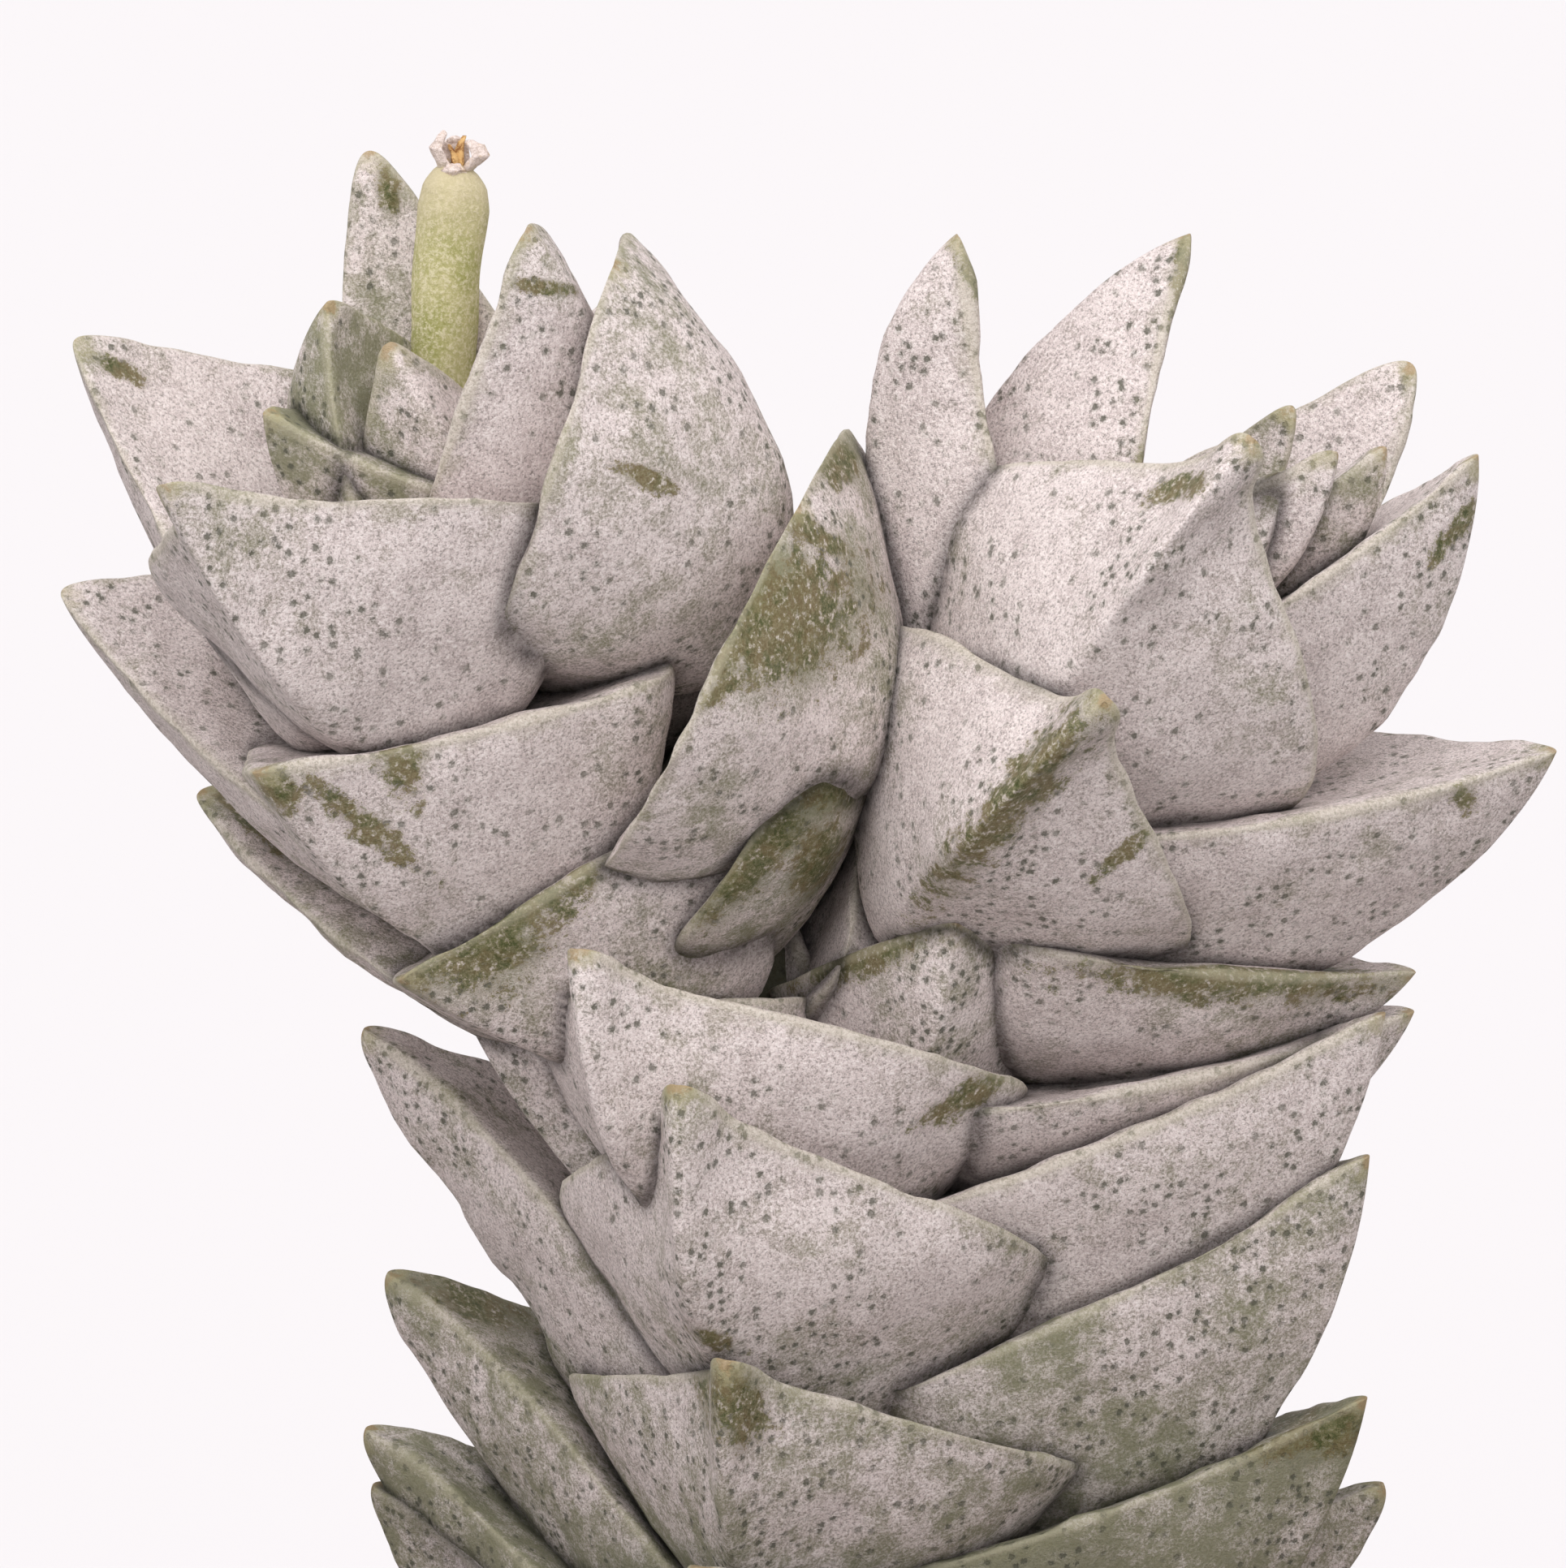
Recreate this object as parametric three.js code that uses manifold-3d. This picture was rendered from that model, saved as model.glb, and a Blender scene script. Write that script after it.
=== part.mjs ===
// A Crassula deceptor in a plain clay pot: a short column of close, four-ranked leaves that forks into two
// heads, the left one with an old flower stalk. Millimetres, +Z up, origin at the centre of the pot's base.
// The front of the plant faces -Y.
import * as THREE from "three";
import { mergeVertices } from "three/addons/utils/BufferGeometryUtils.js";
import Module from "manifold-3d";

const wasm = await Module();
wasm.setup();

// Driving dimensions
const POT_HEIGHT = 64;
const POT_DIAMETER = 74;
const POT_BASE_DIAMETER = 51;
const POT_WALL = 4.2;
const POT_FLOOR = 6;
const RIM_HEIGHT = 14;
const RIM_STEP = 2.6;
const FLOOR_CHAMFER = 2;
const DRAIN_DIAMETER = 12;
const SOIL_BELOW_RIM = 5.5;
const SOIL_RELIEF = 0.7;
const STEM_DIAMETER = 6.4;
const STEM_FOOT = 40;
const HEAD_STEM_DIAMETER = 5.6;
const HEAD_END_DIAMETER = 2.6;
const STALK_DIAMETER = 2.25;
const GAP = 0.35;

const POT_SIDES = 64;
const STEM_SIDES = 10;
const STALK_SIDES = 12;
const STALK_STEPS = 6;
const SOIL_BANDS = 8;
const TOUCHING = 1e-3;
const SEED = 7;

// A leaf is like a ship's bow, a flat triangular deck over a deep keel. Millimetres, degrees and fractions:
// - width and depth, across the deck and down to the keel
// - roll, how far it leans over to one side
// - low, how far below its node it leaves the shoot
// - sag and dish, how hollow the deck is along and across
// - margin, the rounding of the deck's edge
// - widest, how far along it is widest
// - root and rootDepth, how wide and deep it is at the stem
// - tipCurve and tipBlunt, how its outline bends in to the tip
// - rake and prow, how far the keel slopes back and how squarely it drops from the tip
// - bow, how deep the keel is at the tip, as a share of its depth at the root
// - full and fullLoss, how far the sides swell and how much less towards the tip
// - sink, how far it goes into the stem
const LEAF = {
  width: 17.2,
  depth: 8.5,
  roll: 0,
  low: 0,
  sag: 0.12,
  dish: 0.12,
  margin: 0.35,
  widest: 0.28,
  root: 0.5,
  rootDepth: 0.55,
  tipCurve: 1.3,
  tipBlunt: 0.95,
  rake: 0.75,
  prow: 7,
  bow: 1,
  full: 1.75,
  fullLoss: 0.45,
  sink: 1.0,
};
const OUTER = { rake: 0.7, prow: 4.5, depth: 7.5 };
const BROAD = { rake: 0.6, prow: 6 };
const BEAKED = { tipCurve: 2.6, tipBlunt: 2.4, rake: 0.35, prow: 9, bow: 0.6, full: 1.25, fullLoss: 0 };
const ARCHED = {
  depth: 9.5,
  roll: -9,
  sag: -0.4,
  tipCurve: 1.8,
  tipBlunt: 1.4,
  rake: 0.3,
  prow: 6,
  bow: 0.2,
};

// Each shoot is the line through its nodes, and the leaves that stand on them. A turn is in degrees round
// the shoot from the front, towards +X. Reach is how far the tip stands out from the shoot, and rise how far
// it stands above the leaf's foot. A leaf alone on its node gets a partner opposite by the pairing rule.
const MAIN_STEM = {
  radius: STEM_DIAMETER / 2,
  endRadius: STEM_DIAMETER / 2,
  foot: [
    [0, 0, STEM_FOOT],
    [0, 0, 60],
  ],
  nodes: [
    [0, 0, 65.4],
    [0, 0, 68],
    [0, 0, 71],
    [0, 0, 74],
    [0, 0, 76.5],
    [0, 0, 79.5],
    [0, 0, 82.5],
    [0, 0, 85.6],
    [0, 0, 89],
    [0, 0, 92.3],
  ],
  leaves: [
    { node: 0, turn: 71, reach: 14.5, rise: 3, width: 15, depth: 5 },
    { node: 1, turn: -19, reach: 16.5, rise: 5, ...BEAKED, depth: 7 },
    { node: 2, turn: 264, reach: 17.4, rise: 14, ...ARCHED, low: 7.6 },
    { node: 3, turn: -19, reach: 17.5, rise: 5.5, ...BEAKED },
    { node: 4, turn: 71, reach: 18, rise: 6 },
    { node: 4, turn: 265, reach: 17.6, rise: 14, ...ARCHED, low: 11 },
    { node: 5, turn: -17, reach: 16.7, rise: 6.4, ...BEAKED, width: 18, roll: -5, low: -0.6 },
    { node: 6, turn: 71, reach: 18, rise: 8.5 },
    { node: 6, turn: 265, reach: 16.8, rise: 14.6, ...ARCHED, low: 12 },
    { node: 7, turn: -21, reach: 18, rise: 10.5, ...BEAKED },
    { node: 8, turn: 71, reach: 18.5, rise: 7 },
    { node: 8, turn: 264, reach: 17.6, rise: 15.7, ...ARCHED, low: 11 },
    { node: 9, turn: -33, reach: 18, rise: 8, ...BEAKED, roll: 4 },
  ],
};

const LEFT_HEAD = {
  radius: HEAD_STEM_DIAMETER / 2,
  endRadius: HEAD_END_DIAMETER / 2,
  nodes: [
    [-2.2, 0, 92.2],
    [-4.4, 0, 95.6],
    [-6.5, -0.5, 99],
    [-8.6, -1.3, 102.2],
    [-10.4, -2, 104.9],
    [-11.8, -2.8, 107.3],
    [-12.9, -3.5, 109.5],
    [-13.7, -4.2, 111.7],
    [-14.4, -5, 113.8],
    [-15, -5.6, 115.4],
  ],
  leaves: [
    { node: 1, turn: -66, reach: 8.6, rise: 6.2, ...BROAD, width: 15, depth: 8.5, roll: 6, low: 0.7 },
    { node: 2, turn: 242, reach: 14.5, rise: 10, ...OUTER, depth: 5, rootDepth: 0.3 },
    {
      node: 2,
      turn: 39,
      reach: 12,
      rise: 6.7,
      ...OUTER,
      width: 10,
      depth: 1.6,
      roll: -4,
      low: 2,
      widest: 0.55,
      root: 0.3,
      rootDepth: 0.2,
      tipCurve: 1.8,
      tipBlunt: 0.7,
      rake: 0.3,
    },
    { node: 3, turn: -42, reach: 12, rise: 2.5, ...BROAD, width: 18.5, depth: 7.5, roll: 12 },
    { node: 4, turn: 242, reach: 14, rise: 11.5, ...OUTER },
    {
      node: 4,
      turn: 59,
      reach: 13.9,
      rise: 8.8,
      ...BROAD,
      width: 18.5,
      depth: 4.3,
      low: 3.2,
      widest: 0.6,
      root: 0.3,
      rootDepth: 0.1,
      tipCurve: 2.2,
      tipBlunt: 0.55,
      bow: 1.9,
    },
    { node: 5, turn: -38, reach: 13, rise: 6, ...BROAD },
    { node: 6, turn: 242, reach: 10.5, rise: 13, ...OUTER, rake: 1 },
    {
      node: 6,
      turn: 72,
      reach: 9.7,
      rise: 11.3,
      ...BROAD,
      width: 16,
      depth: 8.2,
      widest: 0.45,
      root: 0.3,
      tipCurve: 2,
      tipBlunt: 0.55,
      rake: 0.4,
    },
    { node: 7, turn: -34, reach: 13, rise: 11.5, ...BEAKED, width: 15.6, roll: 10, rake: 0.7 },
    { node: 7, turn: 171, reach: 8, rise: 11.5, ...OUTER, width: 8, depth: 4 },
    { node: 8, turn: 64, reach: 7, rise: 10, ...OUTER, width: 12, depth: 5, tipCurve: 1.6, tipBlunt: 0.75 },
    { node: 8, turn: 242, reach: 1.5, rise: 8, ...OUTER, width: 9, depth: 4 },
    { node: 9, turn: 20, reach: 1.5, rise: 5, ...BROAD, width: 4.5, depth: 3 },
    { node: 9, turn: 285, reach: 4.5, rise: 4, ...BROAD, width: 7, depth: 4 },
  ],
};

const RIGHT_HEAD = {
  radius: HEAD_STEM_DIAMETER / 2,
  endRadius: HEAD_END_DIAMETER / 2,
  nodes: [
    [0.8, 0, 93.3],
    [2, -0.1, 96.3],
    [3.6, -0.3, 99.3],
    [5.3, -0.6, 102.1],
    [6.4, -0.9, 103.7],
    [7.5, -1.2, 105.7],
    [8.7, -1.5, 107.7],
    [9.8, -1.8, 109.5],
    [10.7, -2.1, 111.1],
    [11.4, -2.4, 112.4],
  ],
  leaves: [
    { node: 0, turn: 82, reach: 16, rise: 8.5, depth: 5 },
    { node: 0, turn: 262, reach: 6, rise: 4, ...OUTER, width: 9, depth: 4 },
    { node: 1, turn: -5, reach: 9.5, rise: 6.2, ...BROAD, width: 10, depth: 4.5, roll: 19, low: 2 },
    { node: 2, turn: 82, reach: 14.5, rise: 5.3, ...OUTER, depth: 5.5, roll: -5 },
    { node: 2, turn: 262, reach: 6.5, rise: 8, ...OUTER, width: 10, depth: 4 },
    { node: 3, turn: -7, reach: 15, rise: 8.9, ...BEAKED, width: 14.8, depth: 7.6, roll: -12 },
    { node: 4, turn: 82, reach: 14, rise: 10, ...OUTER },
    { node: 4, turn: 276, reach: 13, rise: 14.5, ...OUTER, width: 10.5, depth: 4.2, roll: 10, rake: 0.6 },
    { node: 5, turn: -8, reach: 11, rise: 14, ...BEAKED, width: 15.5, roll: -8 },
    { node: 5, turn: 150, reach: 8.5, rise: 14.2, ...OUTER, width: 11, depth: 5 },
    { node: 6, turn: 82, reach: 6.5, rise: 12.5, ...OUTER, width: 14, depth: 6 },
    { node: 6, turn: 262, reach: 6, rise: 13.5, ...OUTER, width: 12.5, depth: 6, roll: 8 },
    { node: 7, turn: 20, reach: 3, rise: 7, ...BROAD, width: 5, depth: 3 },
    { node: 7, turn: 160, reach: 1.5, rise: 8, ...BROAD, width: 4.5, depth: 3 },
    { node: 8, turn: 82, reach: 4, rise: 7, ...OUTER, width: 5, depth: 3 },
    { node: 8, turn: 40, reach: 3.5, rise: 6.7, ...OUTER, width: 5, depth: 2.5 },
  ],
};

// The old flower stalk, from inside the left head to its withered tip
const STALK_LINE = [
  [-14.2, -3.6, 110.5],
  [-14.4, -3.5, 115],
  [-14.3, -3.1, 120],
  [-13.9, -2.7, 124.6],
];

// A small repeatable random generator
function randomFrom(seed) {
  let state = seed;
  return () => {
    state = (state * 1664525 + 1013904223) % 4294967296;
    return state / 4294967296;
  };
}

// Solids

function solidOf(geometry) {
  const bare = geometry.clone();
  bare.deleteAttribute("normal");
  bare.deleteAttribute("uv");
  const merged = mergeVertices(bare, TOUCHING);
  return new wasm.Manifold(
    new wasm.Mesh({
      numProp: 3,
      vertProperties: new Float32Array(merged.attributes.position.array),
      triVerts: new Uint32Array(merged.index.array),
    }),
  );
}

function geometryOf(solid) {
  const mesh = solid.getMesh();
  const geometry = new THREE.BufferGeometry();
  geometry.setAttribute("position", new THREE.BufferAttribute(new Float32Array(mesh.vertProperties), 3));
  geometry.setIndex(new THREE.BufferAttribute(new Uint32Array(mesh.triVerts), 1));
  const flat = geometry.toNonIndexed();
  flat.computeVertexNormals();
  return flat;
}

const joined = (solids) => solids.reduce((all, one) => all.add(one));

// The largest body of a solid: loose scraps and the walls of sealed hollows are dropped
function mainBody(solid) {
  const bodies = solid.decompose();
  return bodies.reduce((best, body) => (body.volume() > best.volume() ? body : best));
}

// A closed skin through rings of points that turn the same way, with a point at each end
function skin(rings, first, last) {
  const sides = rings[0].length;
  const points = [first, ...rings.flat(), last];
  const end = points.length - 1;
  const index = [];
  for (let j = 0; j < sides; j++) {
    const k = (j + 1) % sides;
    index.push(0, 1 + k, 1 + j);
    for (let i = 0; i < rings.length - 1; i++) {
      const a = 1 + i * sides;
      const b = a + sides;
      index.push(a + j, a + k, b + k, a + j, b + k, b + j);
    }
    const top = 1 + (rings.length - 1) * sides;
    index.push(top + j, top + k, end);
  }
  const geometry = new THREE.BufferGeometry();
  geometry.setAttribute(
    "position",
    new THREE.Float32BufferAttribute(
      points.flatMap((p) => [p.x, p.y, p.z]),
      3,
    ),
  );
  geometry.setIndex(index);
  return geometry;
}

// Shoots and leaves

const curveThrough = (points) =>
  new THREE.CatmullRomCurve3(
    points.map((p) => new THREE.Vector3(...p)),
    false,
    "catmullrom",
    0.5,
  );

// A shoot's point, direction, front and right side at one of its nodes
function frameAt(shoot, node) {
  const curve = curveThrough(shoot.nodes);
  const t = node / (shoot.nodes.length - 1);
  const up = curve.getTangent(t);
  const front = new THREE.Vector3(0, -1, 0);
  front.addScaledVector(up, -front.dot(up)).normalize();
  return { node: curve.getPoint(t), up, front, side: up.clone().cross(front) };
}

// How the rings of a leaf crowd towards its tip, and the points round each: over the deck and back below
const LEAF_RINGS = 7;
const RING_CROWDING = 1.6;
const DECK_PLACES = [1, 0.55, 0, -0.55, -1];
const KEEL_PLACES = [-0.86, -0.45, 0, 0.45, 0.86];

// Over what part of its length a leaf deepens from the root, and the margin thins out at the tip
const DEEPENING = 0.3;
const MARGIN_END = 0.07;
const BOW_CURVE = 0.8;
const LEAST_RAKE = 0.2;

const easeIn = (x) => Math.sin((Math.min(x, 1) * Math.PI) / 2);
const roundOff = (t) => Math.sqrt(1 - t ** 6);

// The half width and the keel's depth of a leaf at a place along it, from 0 at the root to 1 at the tip
function halfWidth(f, s) {
  const past = Math.max(0, (s - f.widest) / (1 - f.widest));
  const nearRoot = f.root + (1 - f.root) * easeIn(s / f.widest);
  const nearTip = (1 - past ** f.tipCurve) ** f.tipBlunt;
  return (f.width / 2) * (s < f.widest ? nearRoot : nearTip);
}

function keelDepth(f, s) {
  const nearRoot = f.rootDepth + (1 - f.rootDepth) * easeIn(s / DEEPENING);
  const nearTip = f.bow + (1 - f.bow) * (1 - s) ** BOW_CURVE;
  return f.depth * Math.sqrt(1 - s ** f.prow) * nearRoot * nearTip;
}

// One leaf. Grown, it is that much larger all round.
function leafSolid(shoot, leaf, grown = 0) {
  const f = { ...LEAF, ...leaf };
  const { node, up, front, side } = frameAt(shoot, f.node);
  const turn = THREE.MathUtils.degToRad(f.turn);
  const roll = THREE.MathUtils.degToRad(f.roll);
  const climb = Math.atan2(f.rise, f.reach);
  const length = Math.hypot(f.reach, f.rise);
  const out = front.multiplyScalar(Math.cos(turn)).addScaledVector(side, Math.sin(turn));
  const lateral = up.clone().cross(out);
  const along = out.clone().multiplyScalar(Math.cos(climb)).addScaledVector(up, Math.sin(climb));
  const normal = out.clone().multiplyScalar(-Math.sin(climb)).addScaledVector(up, Math.cos(climb));
  const across = lateral.clone().multiplyScalar(Math.cos(roll)).addScaledVector(normal, Math.sin(roll));
  const face = normal.clone().multiplyScalar(Math.cos(roll)).addScaledVector(lateral, -Math.sin(roll));
  const foot = node.addScaledVector(up, -f.low);
  const at = (u, v, w) =>
    foot.clone().addScaledVector(along, u).addScaledVector(across, v).addScaledVector(face, w);

  const start = -f.sink - grown;
  const rings = [];
  for (let i = 0; i < LEAF_RINGS; i++) {
    const s = 1 - (1 - i / LEAF_RINGS) ** RING_CROWDING;
    const half = halfWidth(f, s);
    const keel = keelDepth(f, s);
    const edge = f.margin * Math.sqrt(Math.min(1, (1 - s) / MARGIN_END));
    const level = -f.sag * length * s * (1 - s);
    const u = start + s * (length + grown - start);
    const full = f.full - f.fullLoss * s;
    const slope = f.rake * Math.max(s, LEAST_RAKE);
    const deck = DECK_PLACES.map((t) => {
      const lift = edge * roundOff(t) - f.dish * half * (1 - t * t);
      const spare = grown * Math.max(roundOff(t), 0.25);
      return at(u + slope * Math.min(0, lift), (half + grown) * t, level + lift + spare);
    });
    const below = KEEL_PLACES.map((t) => {
      const drop = keel * (1 - Math.abs(t) ** full) + edge * roundOff(t);
      return at(u - slope * drop, (half + grown) * t, level - drop - grown * roundOff(t));
    });
    rings.push([...deck, ...below]);
  }
  const rootCentre = at(start, 0, -0.4 * f.depth);
  const tip = at(length + 2 * grown, 0, 0);
  return solidOf(skin(rings, rootCentre, tip));
}

// A round stem along a line, tapering from one radius to another, with low domed ends
const DOME = 0.3;

function stemSolid(points, from, to, sides, steps, grown = 0) {
  const curve = curveThrough(points);
  const rings = [];
  for (let i = 0; i <= steps; i++) {
    const t = i / steps;
    const along = curve.getTangent(t);
    const x = new THREE.Vector3(0, -1, 0).addScaledVector(along, along.y).normalize();
    const y = along.clone().cross(x);
    const radius = from + (to - from) * t + grown;
    const centre = curve.getPoint(t);
    const ring = [];
    for (let j = 0; j < sides; j++) {
      const angle = (2 * Math.PI * j) / sides;
      ring.push(
        centre
          .clone()
          .addScaledVector(x, radius * Math.cos(angle))
          .addScaledVector(y, radius * Math.sin(angle)),
      );
    }
    rings.push(ring);
  }
  const below = curve.getPoint(0).addScaledVector(curve.getTangent(0), -DOME * from - grown);
  const above = curve.getPoint(1).addScaledVector(curve.getTangent(1), DOME * to + grown);
  return solidOf(skin(rings, below, above));
}

// The pairing rule: leaves stand in opposite pairs, each pair a quarter turn from the last. A partner is
// like the leaf it stands opposite, with small random differences.
const PARTNER_SPREAD = { turn: 4, reach: 0.04, rise: 0.1, roll: 3 };

function withPartners(shoot, random) {
  const rows = [...shoot.leaves];
  const either = () => 2 * random() - 1;
  shoot.nodes.forEach((_, node) => {
    const here = shoot.leaves.filter((leaf) => leaf.node === node);
    if (here.length !== 1) return;
    const leaf = here[0];
    rows.push({
      ...leaf,
      turn: leaf.turn + 180 + PARTNER_SPREAD.turn * either(),
      reach: leaf.reach * (1 + PARTNER_SPREAD.reach * either()),
      rise: leaf.rise * (1 + PARTNER_SPREAD.rise * either()),
      roll: PARTNER_SPREAD.roll * either(),
    });
  });
  return rows;
}

// A shoot fused with its leaves. Its stem starts at its foot, below the first node, and tapers to its end.
function shootSolid(shoot, grown = 0) {
  const line = [...(shoot.foot || []), ...shoot.nodes];
  const stem = stemSolid(line, shoot.radius, shoot.endRadius, STEM_SIDES, shoot.nodes.length, grown);
  return joined([stem, ...shoot.rows.map((leaf) => leafSolid(shoot, leaf, grown))]);
}

function stalkSolid(grown = 0) {
  return stemSolid(STALK_LINE, STALK_DIAMETER / 2, STALK_DIAMETER / 2, STALK_SIDES, STALK_STEPS, grown);
}

const random = randomFrom(SEED);
for (const shoot of [MAIN_STEM, LEFT_HEAD, RIGHT_HEAD]) shoot.rows = withPartners(shoot, random);

// Each head is cut clear of what was there first
const mainStem = mainBody(shootSolid(MAIN_STEM));
const mainStemRoom = shootSolid(MAIN_STEM, GAP);
const leftHeadRoom = shootSolid(LEFT_HEAD, GAP);
const leftHead = mainBody(shootSolid(LEFT_HEAD).subtract(mainStemRoom).subtract(stalkSolid(GAP)));
const rightHead = mainBody(shootSolid(RIGHT_HEAD).subtract(mainStemRoom).subtract(leftHeadRoom));

// The dried remains of the flower: a shrunken cup with curled lobes
const CUP = { low: 0.25, high: 0.7, radius: 0.75, mouth: 0.55 };
const LOBE = { count: 5, radius: 0.45, tip: 0.32, sides: 6, steps: 3, least: 0.45, spread: 0.7 };
// Each point of a lobe: how far out, as a share of its lean, and how high
const LOBE_LINE = [
  [0.35, 0.35],
  [0.9, 0.9],
  [0.75, 1.5],
];

function witheredFlower(random) {
  const [x, y, top] = STALK_LINE[STALK_LINE.length - 1];
  const z = top + DOME * (STALK_DIAMETER / 2) + GAP;
  const cupLine = [
    [x, y, z + CUP.low],
    [x, y, z + CUP.high],
  ];
  const solids = [stemSolid(cupLine, CUP.radius, CUP.mouth, STALK_SIDES, 1)];
  for (let i = 0; i < LOBE.count; i++) {
    const angle = (2 * Math.PI * i) / LOBE.count;
    const lean = LOBE.least + LOBE.spread * random();
    const line = LOBE_LINE.map(([out, up]) => [
      x + lean * out * Math.cos(angle),
      y + lean * out * Math.sin(angle),
      z + up,
    ]);
    solids.push(stemSolid(line, LOBE.radius, LOBE.tip, LOBE.sides, LOBE.steps));
  }
  return mainBody(joined(solids));
}

// Pot and soil

const rimRadius = POT_DIAMETER / 2;
const baseRadius = POT_BASE_DIAMETER / 2;
const rimFoot = POT_HEIGHT - RIM_HEIGHT;
const soilTop = POT_HEIGHT - SOIL_BELOW_RIM;
const bodyRadius = (z) => baseRadius + ((rimRadius - RIM_STEP - baseRadius) * z) / rimFoot;
const innerRadius = (z) => baseRadius - POT_WALL + ((rimRadius - baseRadius) * z) / POT_HEIGHT;

// A profile turned round the pot's axis: it closes on itself, or starts and ends on the axis
function turned(profile) {
  const points = profile.map(([x, z]) => new THREE.Vector2(x, z));
  const geometry = new THREE.LatheGeometry(points, POT_SIDES);
  geometry.rotateX(Math.PI / 2);
  return geometry;
}

function potGeometry() {
  const drain = DRAIN_DIAMETER / 2;
  const start = [drain, 0];
  return turned([
    start,
    [baseRadius - 1.2, 0],
    [baseRadius, 1.2],
    [bodyRadius(rimFoot), rimFoot],
    [rimRadius - 0.8, rimFoot + 0.4],
    [rimRadius, rimFoot + 1.2],
    [rimRadius, POT_HEIGHT - 1.4],
    [rimRadius - 1, POT_HEIGHT],
    [innerRadius(POT_HEIGHT) + 0.8, POT_HEIGHT],
    [innerRadius(POT_HEIGHT - 1), POT_HEIGHT - 1],
    [innerRadius(POT_FLOOR + FLOOR_CHAMFER), POT_FLOOR + FLOOR_CHAMFER],
    [innerRadius(POT_FLOOR) - FLOOR_CHAMFER, POT_FLOOR],
    [drain, POT_FLOOR],
    start,
  ]);
}

// Uneven soil, raised by crossed waves that fade out at the stem and the wall
const WAVES = [
  { x: 1.3, y: 0.7, height: 0.7 },
  { x: -0.4, y: 1.1, height: 0.6 },
  { x: 1.7, y: 2.1, height: 0.5 },
];
const FADE_WIDTH = 3;

function relief(x, y) {
  const r = Math.hypot(x, y);
  const fromStem = (r - STEM_DIAMETER / 2) / FADE_WIDTH;
  const fromWall = (innerRadius(soilTop) - r) / FADE_WIDTH;
  const fade = Math.max(0, Math.min(1, fromStem, fromWall));
  const height = WAVES.reduce((sum, wave) => sum + wave.height * Math.sin(wave.x * x + wave.y * y), 0);
  return SOIL_RELIEF * fade * height;
}

// The soil, with a blind hole for the stem
function soilGeometry() {
  const hole = STEM_DIAMETER / 2 + GAP;
  const holeFloor = STEM_FOOT - DOME * (STEM_DIAMETER / 2) - GAP;
  const outer = innerRadius(soilTop) - GAP;
  const low = POT_FLOOR + GAP;
  const surface = [];
  for (let i = 0; i <= SOIL_BANDS; i++) surface.push([outer + ((hole - outer) * i) / SOIL_BANDS, soilTop]);
  const geometry = turned([
    [0, low],
    [innerRadius(low) - FLOOR_CHAMFER - GAP, low],
    [innerRadius(low + FLOOR_CHAMFER) - GAP, low + FLOOR_CHAMFER],
    ...surface,
    [hole, holeFloor],
    [0, holeFloor],
  ]);
  const position = geometry.attributes.position;
  for (let i = 0; i < position.count; i++) {
    const z = position.getZ(i);
    if (Math.abs(z - soilTop) < TOUCHING) position.setZ(i, z + relief(position.getX(i), position.getY(i)));
  }
  return geometry;
}

// The finished part

const finish = (color, roughness) => new THREE.MeshStandardMaterial({ color, roughness, metalness: 0 });
const LEAF_FINISH = finish(0xb9b2b0, 0.85);

function piece(name, geometry, material) {
  const mesh = new THREE.Mesh(geometry, material);
  mesh.name = name;
  return mesh;
}

const plant = new THREE.Group();
plant.add(
  piece("main_stem", geometryOf(mainStem), LEAF_FINISH),
  piece("left_head", geometryOf(leftHead), LEAF_FINISH.clone()),
  piece("right_head", geometryOf(rightHead), LEAF_FINISH.clone()),
  piece("flower_stalk", geometryOf(stalkSolid()), finish(0xb4b878, 0.75)),
  piece("withered_flower", geometryOf(witheredFlower(random)), finish(0xd8cbb4, 0.9)),
);

const part = new THREE.Group();
part.add(
  piece("pot", potGeometry(), finish(0xb5714c, 0.85)),
  piece("potting_soil", soilGeometry(), finish(0x4a3d33, 0.95)),
  plant,
);

export default part;
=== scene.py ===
"""The looks of the potted Crassula deceptor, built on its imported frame.

Sizes are in millimetres, as in the part's source, and become metres where a mesh is made.
"""
import math

import bpy
import numpy as np
from mathutils.bvhtree import BVHTree
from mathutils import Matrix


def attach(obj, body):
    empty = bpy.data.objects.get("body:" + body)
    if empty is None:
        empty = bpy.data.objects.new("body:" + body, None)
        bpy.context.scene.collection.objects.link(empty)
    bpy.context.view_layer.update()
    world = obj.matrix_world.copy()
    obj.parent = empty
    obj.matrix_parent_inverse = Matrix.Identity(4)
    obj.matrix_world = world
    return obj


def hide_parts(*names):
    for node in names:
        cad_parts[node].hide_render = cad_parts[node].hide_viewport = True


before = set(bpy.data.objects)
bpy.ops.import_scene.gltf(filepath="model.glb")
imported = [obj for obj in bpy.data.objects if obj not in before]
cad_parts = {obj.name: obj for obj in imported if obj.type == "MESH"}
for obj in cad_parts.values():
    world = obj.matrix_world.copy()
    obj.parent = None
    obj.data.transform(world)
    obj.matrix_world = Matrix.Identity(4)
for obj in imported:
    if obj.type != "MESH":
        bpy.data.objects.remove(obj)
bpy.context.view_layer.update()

MM = 0.001

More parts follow.
